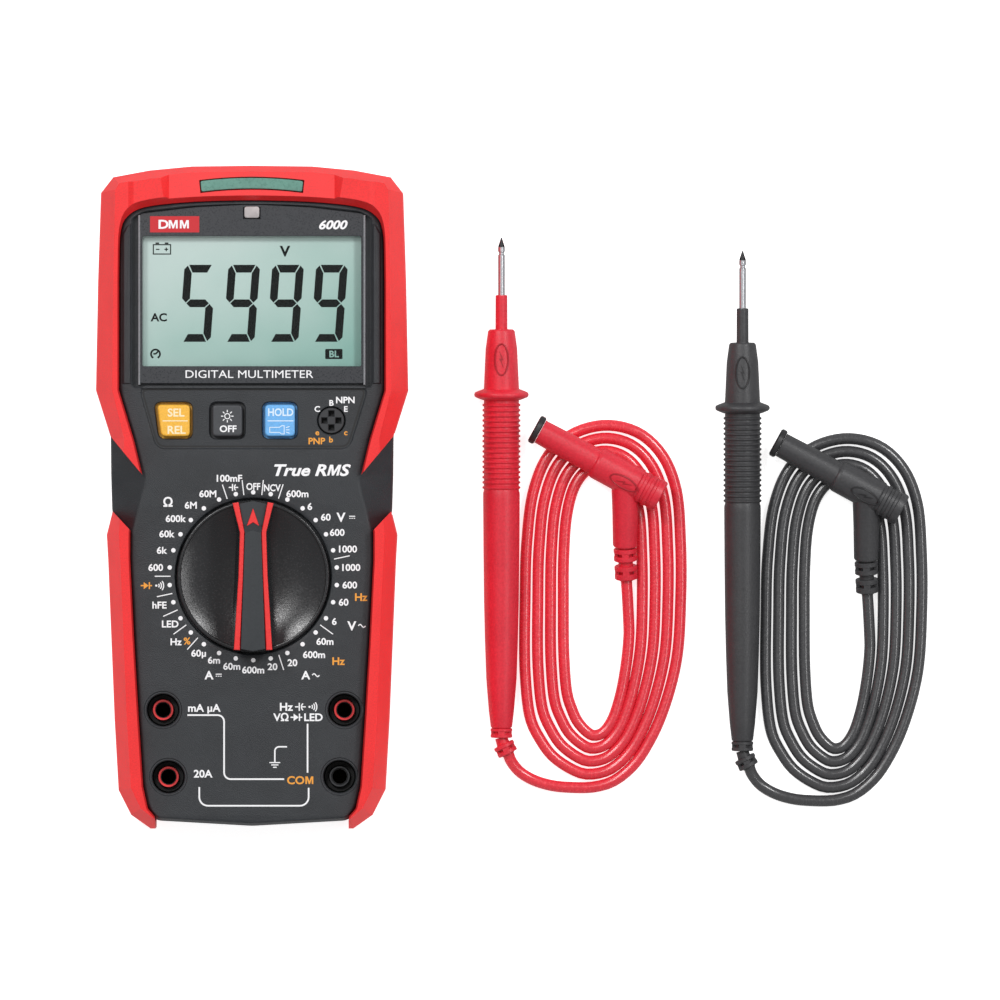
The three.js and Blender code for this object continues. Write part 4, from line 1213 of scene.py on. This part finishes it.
def segment_outlines(w, h, b):
    """Outlines of a seven-segment figure's bars, in a w by h box, with bars b wide."""
    g, m = 0.2, h / 2
    upright = [(w, m + b * 0.55 + g), (w, h - b * 0.5 - g), (w - b * 0.4 - g * 0.4, h - g),
               (w - b, h - b - g), (w - b, m + b / 2 + g), (w - b / 2, m + g)]
    lower = [(x, h - y) for x, y in upright]
    return {
        "a": [(b * 0.5 + g, h), (w - b * 0.5 - g, h), (w - b - g, h - b), (b + g, h - b)],
        "d": [(b * 0.5 + g, 0), (w - b * 0.5 - g, 0), (w - b - g, b), (b + g, b)],
        "g": [(b / 2 + g, m), (b + g, m + b / 2), (w - b - g, m + b / 2), (w - b / 2 - g, m),
              (w - b - g, m - b / 2), (b + g, m - b / 2)],
        "b": upright,
        "c": lower,
        "f": [(w - x, y) for x, y in upright],
    }


def segment_digit(digit, left, bottom, width, height, bar, lean):
    outlines = segment_outlines(width, height, bar)
    bars = []
    for name in DIGITS[digit]:
        bars.append(flat([(left + x + y * lean, bottom + y) for x, y in outlines[name]], LCD_Z))
    return joined(*bars)


def battery_mark(x, y):
    return strokes([
        (closed_line(rectangle(x - 2.4, x + 2.4, y - 1.3, y + 1.3)), 0.3),
        ([(x - 1.7, y), (x - 0.7, y)], 0.3),
        ([(x + 0.7, y), (x + 1.7, y)], 0.3),
        ([(x + 1.2, y - 0.5), (x + 1.2, y + 0.5)], 0.3),
        ([(x - 1.8, y + 1.7), (x - 0.8, y + 1.7)], 0.4),
        ([(x + 0.8, y + 1.7), (x + 1.8, y + 1.7)], 0.4),
    ], LCD_Z)


def timer_mark(x, y):
    return strokes([
        (arc_points(x, y, 1.25, -60, 240, 16), 0.5),
        ([(x, y), (x + 0.7, y + 0.7)], 0.45),
        ([(x, y), (x - 0.6, y + 0.1)], 0.45),
    ], LCD_Z)


def lcd_figures():
    bottom, height, width, bar, lean = 43.2, 21.4, 8.8, 2.15, 0.075
    shapes = [segment_digit(digit, left, bottom, width, height, bar, lean)
              for digit, left in zip("5999", (-20.3, -8.1, 4.1, 16.3))]
    shapes.append(lettering("V", 2.7, 9.2, 68.4, LCD_Z, weight=0.035))
    shapes.append(lettering("AC", 2.1, -25.8, 50, LCD_Z, weight=0.03))
    shapes.append(battery_mark(-25, 68.9))
    shapes.append(timer_mark(-26.8, 39.8))
    return joined(*shapes)


make("lcd_figures", lcd_figures(), LCD_INK, "meter")
make("lcd_badge", flat(rounded(rectangle(20.4, 25.2, 38.4, 41.2), 0.3), LCD_Z), LCD_INK, "meter")
make("lcd_badge_text", lettering("BL", 1.7, 22.8, 39.8, LCD_Z + PRINT_HEIGHT), LCD_FILM, "meter")

# ---- keys and transistor socket ---------------------------------------------------------------

KEY_TOP = 47.3
KEY_ROUND = 0.6               # radius of a key's top edge
KEY_FINISH = {
    "select_button": (KEY_YELLOW, "yellow_key"),
    "backlight_button": (KEY_CHARCOAL, "charcoal_key"),
    "hold_button": (KEY_BLUE, "blue_key"),
}


def key_cap(outline):
    """A moulded key with a flange below the panel and a softly rounded top."""
    flange = offset(outline, 1.1)
    stem = offset(outline, -0.2)
    rings = [level(flange, 42.4), level(flange, 43.7), level(stem, 43.7), level(stem, KEY_TOP - KEY_ROUND)]
    steps = 4
    for k in range(1, steps + 1):
        angle = math.pi / 2 * k / steps
        edge = offset(stem, -KEY_ROUND * (1 - math.cos(angle)))
        rings.append(level(edge, KEY_TOP - KEY_ROUND + KEY_ROUND * math.sin(angle)))
    return skin(rings)


for key_name, key_outline in KEYS.items():
    key_material, key_slot = KEY_FINISH[key_name]
    make(f"{key_name}_cap", key_cap(key_outline), key_material, key_name, [key_name])

KEY_INK_Z = KEY_TOP + 0.01


def lamp_mark(x, y, z):
    """A small lamp with rays round it."""
    lines = [(arc_points(x, y, 0.72, 0, 360, 16), 0.24)]
    for k in range(8):
        angle = math.pi / 4 * k
        lines.append(([(x + r * math.cos(angle), y + r * math.sin(angle)) for r in (1.1, 1.75)], 0.26))
    return strokes(lines, z)


def torch_mark(x, y, z):
    """A small torch with its beam to the right."""
    lower = [(x - 2.2, y - 0.7), (x + 0.5, y - 0.7), (x + 1.1, y - 1.15), (x + 1.8, y - 1.15)]
    upper = [(px, 2 * y - py) for px, py in reversed(lower)]
    beam = [([(x + 2.3, y + k * 0.6), (x + 3.3, y + k * 0.95)], 0.24) for k in (-1, 0, 1)]
    return strokes([(closed_line([*lower, *upper]), 0.22), *beam], z)


def key_rule(left, right):
    """The line between a key's two functions."""
    return stroke([(left, 21.2), (right, 21.2)], 0.28, KEY_INK_Z)


def select_print():
    return joined(lettering("SEL", 2.1, -21.1, 23.5, KEY_INK_Z), lettering("REL", 2.1, -21, 18.7, KEY_INK_Z),
                  key_rule(-24.8, -17.8))


def backlight_print():
    return joined(lamp_mark(-6.8, 22.5, KEY_INK_Z), lettering("OFF", 1.75, -6.6, 19, KEY_INK_Z))


def hold_print():
    return joined(lettering("HOLD", 2, 8, 23.6, KEY_INK_Z, squeeze=0.88), torch_mark(7.2, 18.7, KEY_INK_Z),
                  key_rule(4.4, 11.6))


make("select_print", select_print(), CREAM_INK, "select_button")
make("backlight_print", backlight_print(), WHITE_INK, "backlight_button")
make("hold_print", hold_print(), PALE_BLUE_INK, "hold_button")


def transistor_socket():
    """A round socket with four square pin holes."""
    reach, half = 1.95, 0.75
    holes = [rectangle(x - half, x + half, y - half, y + half)
             for x, y in ((reach, 0), (-reach, 0), (0, reach), (0, -reach))]
    body = plate(circle(0, 0, 3.6), holes, 41, KEY_PANEL_Z + 0.2)
    floors = [flat(hole, 42) for hole in holes]
    return shifted(joined(body, *floors), *SOCKET)


make("transistor_socket_body", transistor_socket(), SOCKET_BLACK, "meter",
     ["transistor_socket"])

# ---- range knob -------------------------------------------------------------------------------

# Right edge of the ridge between the red strips' outer faces, from the knob's centre, bottom to top.
RIDGE_EDGE = [(0, -20.9), (5.2, -20.2), (4.05, -0.3), (3.65, 12.2), (5.55, 20.1), (0, 20.9)]
RIDGE_OUTLINE = mirrored(RIDGE_EDGE)
KNOB_TOP = 56
STRIP = 1.3                   # width of a red strip
END_STRIP = 1.7               # its width at the ridge's ends
INLAY_LOW = 50.5


def knob_body():
    """A shallow dish each side of a waisted ridge, with the hub below."""
    dish = [(0, 35.7), (5, 35.7), (5, 43.8), (KNOB_RADIUS, 43.8), (KNOB_RADIUS, 46.8),
            (KNOB_RADIUS - 0.2, 47.15), (KNOB_RADIUS - 0.5, 47.3), (KNOB_RADIUS - 0.95, 47.2)]
    bowl_steps = 14
    for k in range(bowl_steps, 0, -1):
        radius = (KNOB_RADIUS - 1.1) * k / bowl_steps
        dish.append((radius, 44.3 + 2.9 * (radius / KNOB_RADIUS) ** 3.2))
    dish.append((0, 44.3))
    ridge = rounded(RIDGE_OUTLINE, 1.2)
    flare = [1.3, 0.85, 0.5, 0.2, 0]
    heights = [43.9, 45.2, 47, 49, INLAY_LOW]
    rings = [level(inside_disc(offset(ridge, grow), KNOB_RADIUS - 0.3), z) for grow, z in zip(flare, heights)]
    return shifted(joined(turned(dish, 96), skin(rings)), *KNOB)


def inside_disc(outline, radius):
    """Draws points beyond a radius back to it."""
    kept = []
    for x, y in outline:
        share = min(1, radius / math.hypot(x, y))
        kept.append((x * share, y * share))
    return kept


def strip_inner(x, y):
    """The inner edge of a red strip, which is wider at the ridge's ends."""
    return x - (END_STRIP if abs(y) > 19 else STRIP), y


def strips():
    """The red inlay: a plate under the cap and two strips that stand up along the ridge."""
    base = prism(inside_disc(RIDGE_OUTLINE, KNOB_RADIUS - 0.9), INLAY_LOW, INLAY_LOW + 1.2)
    outer = [(5.35, -20.5), *RIDGE_EDGE[2:-2], (5.75, 20.6)]
    outline = inside_disc([*outer, *[strip_inner(x, y) for x, y in reversed(outer)]], KNOB_RADIUS - 0.1)
    right = rounded_slab(outline, INLAY_LOW, KNOB_TOP - 0.3, 0.3)
    left = rounded_slab([(-x, y) for x, y in reversed(outline)], INLAY_LOW, KNOB_TOP - 0.3, 0.3)
    return joined(base, right, left)


def ridge_cap():
    """The dark cap between the strips, stepped down at the pointer end."""
    inner = [(x, y) if x == 0 else strip_inner(x - 0.05, y) for x, y in RIDGE_EDGE]
    cap = inside_disc(mirrored(inner), KNOB_RADIUS - 0.1)
    body = skin(steps_of(cap, [(0, INLAY_LOW + 1.6), (0, KNOB_TOP - 0.25), (-0.1, KNOB_TOP - 0.08),
                               (-0.3, KNOB_TOP)]))
    step = []
    for side_y, middle_y, z in ((12.6, 15, KNOB_TOP - 1.5), (10.2, 12.6, KNOB_TOP + 0.1)):
        step.append(level([(-8, side_y), (0, middle_y), (8, side_y), (8, 30), (-8, 30)], z))
    return boolean(body, "DIFFERENCE", skin(step))


def pointer():
    arrow = [(-1.75, 13.9), (0, 15), (1.75, 13.9), (0, 18.9)]
    return skin(steps_of(arrow, [(0, KNOB_TOP - 1.9), (0, KNOB_TOP - 1.25), (-0.1, KNOB_TOP - 1.15)]))


make("knob_dish", knob_body(), KNOB_PLASTIC, "selector", ["selector_knob"], sharp=40)
make("knob_strips", shifted(joined(strips(), pointer()), *KNOB), KNOB_RED, "selector",
     ["knob_inlay"], sharp=40)
make("knob_ridge_cap", shifted(ridge_cap(), *KNOB), CHARCOAL_SMOOTH, "selector", ["knob_cap"])

# ---- input sockets ----------------------------------------------------------------------------


def jack_sleeve():
    """A moulded sleeve: a flange seated in the well and a tube that stands up round the contact."""
    return ring_of([(3.2, 34.9), (4.2, 34.9), (4.2, 38), (2.95, 38), (2.95, 41.2), (2.8, 41.5), (2.4, 41.5),
                    (2.25, 41.3), (2.25, 37.1), (3.2, 37.1)])


def jack_contact():
    return turned([(0, 24), (2.9, 24), (2.9, 36.5), (2.7, 36.7), (2.2, 36.7), (2, 36.4), (2, 25.5),
                   (0, 25.5)], 32)


def jack_liner():
    """A sleeve that lines a bore down to its contact, near-black as painted shade."""
    return ring_of([(2.05, 34), (2.2, 34), (2.2, 40.9), (2.05, 40.9)], 32)


def jack_washer():
    return ring_of([(3, 38.05), (4.3, 38.05), (4.3, 38.7), (4.1, 38.9), (3.1, 38.9), (3, 38.7)])


def input_socket(name, x, y):
    sleeve_material, sleeve_slot = (JACK_BLACK, "jack_black") if name == "com" else (JACK_RED, "jack_red")
    make(f"socket_ring_{name}", shifted(jack_sleeve(), x, y), sleeve_material, "meter",
         [f"jack_{name}"])
    # The contact's dark colour is painted shade.
    make(f"socket_contact_{name}", shifted(jack_contact(), x, y), BRASS_PAINTED_SHADE, "meter",
         [f"contact_{name}"])
    # The washer and liner are near-black: painted shade in the well and bore.
    make(f"socket_washer_{name}", shifted(joined(jack_washer(), jack_liner()), x, y), SHADE_BLACK, "meter")


for jack_name, jack_place in JACKS.items():
    input_socket(jack_name, *jack_place)

# ---- printed marks on the front panel ---------------------------------------------------------

DIAL_STEP = 12                # degrees from one range to the next
DOT_RADIUS = 23.35
DIAL_CAP = 1.8
DIAL = [                      # each range's label, and where its middle stands from the range's dot
    ("OFF", 0, 1.6), ("NCV", 0.35, 1.75), ("600m", 2.8, 1.6), ("6", 2, 0.5), ("60", 2.8, 0.8),
    ("600", 3.1, 0.5), ("1000", 3.9, 0.35), ("1000", 3.8, 0), ("600", 3.6, 0), ("60", 2.9, 0),
    ("6", 2.3, -0.9), ("60m", 2.6, -2.5), ("600m", 3.2, -2.9), ("20", 1.4, -2.7), ("20", 0.5, -2.3),
    ("600m", 0, -2.7), ("60m", -1.1, -2.2), ("6m", -1.4, -2), ("60µ", -1.4, -2.5), ("Hz", -4.2, -2.6),
    ("LED", -2.9, -1.6), ("hFE", -3.9, -0.8), ("", 0, 0), ("600", -3.9, 0), ("6k", -3.3, 0),
    ("60k", -3.9, 0.1), ("600k", -4.3, 0.4), ("6M", -3.6, 0.85), ("60M", -3.1, 1.6), ("100mF", -2, 4.4),
]
NARROW_LABELS = (0, 1)        # ranges whose labels are set narrow, each between two dividing lines
NARROW_DIVIDERS = (-1.55, -0.55, 0.5, 1.5)
FUNCTION_DIVIDERS = (6.5, 10.5, 13.5, 18.5, 19.5, 20.5, 21.5, 22.5)


def dial_place(step, radius):
    angle = math.radians(90 - DIAL_STEP * step)
    return KNOB[0] + radius * math.cos(angle), KNOB[1] + radius * math.sin(angle)


def dial_labels():
    labels = []
    for step, (text, dx, dy) in enumerate(DIAL):
        x, y = dial_place(step, DOT_RADIUS)
        if text:
            squeeze = 0.85 if step in NARROW_LABELS else 1.05
            labels.append(lettering(text, DIAL_CAP, x + dx, y + dy, DECK_Z, squeeze=squeeze))
    return labels


def dial_dots():
    return [dot(*dial_place(step, DOT_RADIUS), 0.62, DECK_Z) for step in range(len(DIAL))]


def dial_divider(step, start, end):
    return stroke([dial_place(step, start), dial_place(step, end)], 0.28, DECK_Z)


def capacitor_mark(x, y, size, z):
    """A flat plate and a curved plate, each with its lead."""
    return strokes([
        ([(x - size, y), (x - size * 0.35, y)], 0.32),
        ([(x + size * 0.33, y), (x + size, y)], 0.32),
        ([(x - size * 0.2, y - size * 0.75), (x - size * 0.2, y + size * 0.75)], 0.34),
        (arc_points(x + size * 1.05, y, size * 0.85, 132, 228), 0.32),
    ], z)


def diode_mark(x, y, size, z):
    """A filled triangle that points at a bar, with a lead at each side."""
    low, high = y - size * 0.65, y + size * 0.65
    triangle = flat([(x - size * 0.5, low), (x + size * 0.4, y), (x - size * 0.5, high)], z)
    return joined(triangle, strokes([
        ([(x + size * 0.55, low), (x + size * 0.55, high)], 0.36),
        ([(x - size * 1.05, y), (x - size * 0.52, y)], 0.36),
        ([(x + size * 0.7, y), (x + size * 1.05, y)], 0.36),
    ], z))


def buzzer_mark(x, y, size, z):
    """A dot with three arcs that spread from it."""
    arcs = [(arc_points(x - size, y, size * k, -38, 38), 0.3) for k in (0.85, 1.5, 2.15)]
    return joined(dot(x - size, y, 0.3, z), strokes(arcs, z))


def dc_mark(x, y, z):
    """A bar above three dashes."""
    bar = [(x - 0.85, y + 0.28), (x + 0.85, y + 0.28)]
    dashes = [[(x + k * 0.62 - 0.2, y - 0.28), (x + k * 0.62 + 0.2, y - 0.28)] for k in (-1, 0, 1)]
    return strokes([(bar, 0.25), *[(dash, 0.22) for dash in dashes]], z)


def ac_mark(x, y, z):
    wave = [(x - 1 + k / 6, y + 0.4 * math.sin(math.pi * k / 6)) for k in range(13)]
    return stroke(wave, 0.3, z)


def earth_mark(x, y, z):
    """Three bars of falling width under a bent lead."""
    bent_lead = [(x, y + 0.2), (x, y + 2.6), *arc_points(x + 1.2, y + 3.2, 1.2, 180, 90), (x + 3.4, y + 4.4)]
    lines = [(bent_lead, 0.4)]
    for k, half in enumerate((1.5, 1, 0.5)):
        lines.append(([(x - half, y - k * 0.65), (x + half, y - k * 0.65)], 0.3))
    return strokes(lines, z)


def panel_white():
    """All the white print on the deck."""
    z = DECK_Z
    parts = dial_dots()
    parts += dial_labels()
    parts += [dial_divider(step, 22.7, 26.9) for step in NARROW_DIVIDERS]
    parts += [dial_divider(step, 23, 27.4) for step in FUNCTION_DIVIDERS]
    parts += [capacitor_mark(-5.1, 2.7, 1.3, z)]
    parts += [lettering("Ω", 2.4, -23.3, -1.4, z)]
    parts += [lettering("V", 2.4, 24.8, -5.6, z), dc_mark(27.9, -5.6, z)]
    parts += [lettering("V", 2.4, 27.8, -35.8, z), ac_mark(30.6, -35.8, z)]
    parts += [lettering("A", 2.2, -11.9, -49.5, z), dc_mark(-9.2, -49.5, z)]
    parts += [lettering("A", 2.2, 15, -49.5, z), ac_mark(17.8, -49.5, z)]
    heavy = {"slant": 0.28, "weight": 0.03, "squeeze": 1.2}
    parts += [lettering("True R", 3, 13, 7.5, z, **heavy), bold_m(20.9, 7.5, 3, 3.2, 0.28, z)]
    parts += [lettering("S", 3, 25.5, 7.5, z, **heavy)]
    return joined(*parts, *socket_print())


def socket_print():
    """White print round the input sockets."""
    z = DECK_Z
    fuse_line = [(-17.9, -60.6), (-11, -60.6), *arc_points(-9.5, -62.4, 1.8, 90, 0), (-7.7, -76.4),
                 *arc_points(-5.9, -76.6, 1.8, 180, 270), (9, -78.4)]
    high_line = [(-14.6, -80.6), (-14.6, -83.4), *arc_points(-12.2, -83.4, 2.4, 180, 270), (13.4, -85.8),
                 *arc_points(13.4, -83.4, 2.4, -90, 0), (15.8, -80.8)]
    return [
        lettering("mA µA", 2, -13.3, -58.6, z), lettering("20A", 2, -13.6, -76.9, z),
        stroke(fuse_line, 0.45, z), stroke(high_line, 0.45, z), stroke([(15.5, -63), (15.5, -76.6)], 0.45, z),
        lettering("Hz", 2.1, 9.5, -58.3, z), capacitor_mark(13.5, -58.3, 1.5, z),
        buzzer_mark(17, -58.3, 0.95, z), lettering("VΩ", 2, 8.2, -61.2, z),
        diode_mark(12.4, -61.2, 1.55, z), lettering("LED", 2, 17.1, -61.2, z),
        earth_mark(6.4, -73.8, z),
    ]


def panel_orange():
    z = DECK_Z
    return joined(
        lettering("CO", 2.1, 12.2, -78.7, z), bold_m(14.9, -78.7, 2.1, 2.2, 0, z),
        lettering("Hz", 2, 30.3, -27.8, z), lettering("Hz", 2, 24, -45.6, z),
        lettering("%", 1.8, -18, -40, z), diode_mark(-29.3, -24.6, 1.5, z),
    )


UPPER_PINS = [("C", 1.5, 18.2, 24.5), ("B", 1.5, 22.1, 26.2), ("NPN", 1.7, 26, 27), ("E", 1.5, 26.1, 24.5)]
LOWER_PINS = [("e", 1.5, 18.2, 18), ("b", 1.5, 22, 16), ("c", 1.5, 26.1, 18), ("PNP", 1.7, 18, 15.6)]


def pin_names(labels):
    """Names beside the transistor socket: text, capital height, x and y of each."""
    return joined(*[lettering(*label, KEY_PANEL_Z) for label in labels])


def lens_print():
    z = LENS_HIGH
    return joined(lettering("DIGITAL MULTIMETER", 2.1, -0.8, 34.2, z, weight=0, squeeze=1.18),
                  lettering("6000", 2.3, 22.3, 75.7, z, slant=0.28, weight=0.03, squeeze=1.15),
                  lettering("D", 2.3, -24.6, 75.85, z + PRINT_HEIGHT, weight=0.03, squeeze=1.2),
                  *[bold_m(left, 75.85, 2.3, 2.5, 0, z + PRINT_HEIGHT) for left in (-23.1, -20)])


make("panel_print_white", panel_white(), WHITE_INK, "meter")
make("panel_print_buzzer", buzzer_mark(-25.6, -24.6, 0.95, DECK_Z), WHITE_INK, "meter")
make("panel_print_orange", panel_orange(), ORANGE_INK, "meter")
# A near-black line round the key recess floor: a painted shadow along the recess walls.
make("key_panel_painted_shadow", stroke(closed_line(offset(KEY_PANEL, -0.45)), 0.55, KEY_PANEL_Z), SHADE_BLACK,
     "meter")
make("key_print_white", pin_names(UPPER_PINS), WHITE_INK, "meter")
make("key_print_orange", pin_names(LOWER_PINS), ORANGE_INK, "meter")
make("lens_print", lens_print(), WHITE_INK, "meter")
make("lens_badge", flat(rectangle(-28.3, -14.6, 73.6, 78.1), LENS_HIGH), BADGE_RED, "meter")

# ---- back -------------------------------------------------------------------------------------


def battery_door():
    """A plate with a screw well, flush with the back."""
    outline = rounded(rectangle(-31, 31, -70, -2.4), 1.3)
    rings = steps_of(outline, [(0, 2.3), (0, 0.7), (-0.4, 0.3)])
    well = steps_of(circle(*DOOR_SCREW, 3.1), [(0.3, 0.3), (0, 0.6), (0, 1.3)])
    hole = [*well, *channel([(1.7, 1.3), (1.7, 2.3)], *DOOR_SCREW)]
    faces = [face_with_holes([rings[-1], hole[0]]), face_with_holes([rings[0], hole[-1]])]
    return joined(*faces, skin(rings, False, False), skin(hole, False, False))


def cross_head(x, y, low, high, tip):
    """A pan-head screw, head down, with a cross recess. low and high are the head's ends."""
    radius, shank, narrowing = 2.8, 1.4, 0.8
    head = turned([(0, low), (radius - 0.5, low), (radius, low + 0.4), (radius, high), (shank, high),
                   (shank, tip), (0, tip)], 32)
    for a, b in ((1.5, 0.35), (0.35, 1.5)):
        mouth = rectangle(-a, a, -b, b)
        floor = [(px * narrowing, py * narrowing) for px, py in mouth]
        head = boolean(head, "DIFFERENCE", skin([level(mouth, low - 1), level(floor, low + 0.6)]))
    return shifted(head, x, y)


def kickstand():
    """The tilt stand: a framed plate with a window, two strengthening ribs and a hinge barrel."""
    frame_outline = rounded(rectangle(-24, 24, 8, 62), 2)
    window = rounded(rectangle(-12, 12, 24, 49), 2)
    panel = plate(frame_outline, [window], 0.4, 3.4, 0.3)
    rib = rounded_slab(rounded(rectangle(-1, 1, 11, 58), 0.8), 0.4, 3.4, 0.4)
    ribs = [shifted(rib, x=x) for x in (-18, 18)]
    barrel = [(0, 0), (1.4, 0), (1.4, 48), (0, 48)]
    pins = [(0, -1.6), (1.1, -1.6), (1.3, -1.3), (1.3, 49.3), (1.1, 49.6), (0, 49.6)]
    hinge_line = axis_matrix((-24, 63, 2.1), (24, 63, 2.1))
    hinge = [transformed(turned(profile, 24), hinge_line) for profile in (barrel, pins)]
    grip = []
    for k in range(3):
        low, high = 9.6 + k * 1.6, 10.4 + k * 1.6
        grip.append(skin([level(rectangle(-7, 7, low, high), 0.25),
                          level(rectangle(-7, 7, low - 0.1, high + 0.1), 1)]))
    return joined(panel, *ribs, *hinge, *grip)


make("door_panel", battery_door(), CHARCOAL, "meter", ["battery_door"])
make("door_screw", cross_head(*DOOR_SCREW, low=0.3, high=1.3, tip=7.6), STEEL, "meter",
     ["battery_door_screw"])
for screw_number, screw_place in enumerate(SCREWS, 1):
    back_screw = cross_head(*screw_place, low=9.6, high=11.7, tip=34)
    make(f"back_screw_{screw_number}", back_screw, STEEL, "meter", [f"case_screw_{screw_number}"])
make("tilt_stand", kickstand(), CHARCOAL_SMOOTH, "stand", ["kickstand"])

# ---- pieces inside, kept from the frame --------------------------------------------------------

INSIDE = {
    "lcd_backlight": DIFFUSER, "keypad_membrane": SILICONE, "switch_rotor": NYLON, "detent_spring": STEEL,
    "main_board": BOARD_MASK, "fuse_ma": CERAMIC, "fuse_20a": CERAMIC, "current_shunt": BRASS,
    "buzzer": SOCKET_BLACK, **{f"battery_cell_{number}": CELL_JACKET for number in range(1, 5)},
}
for node_name, node_material in INSIDE.items():
    for material_slot in frame["nodes"][node_name].material_slots:
        material_slot.material = node_material
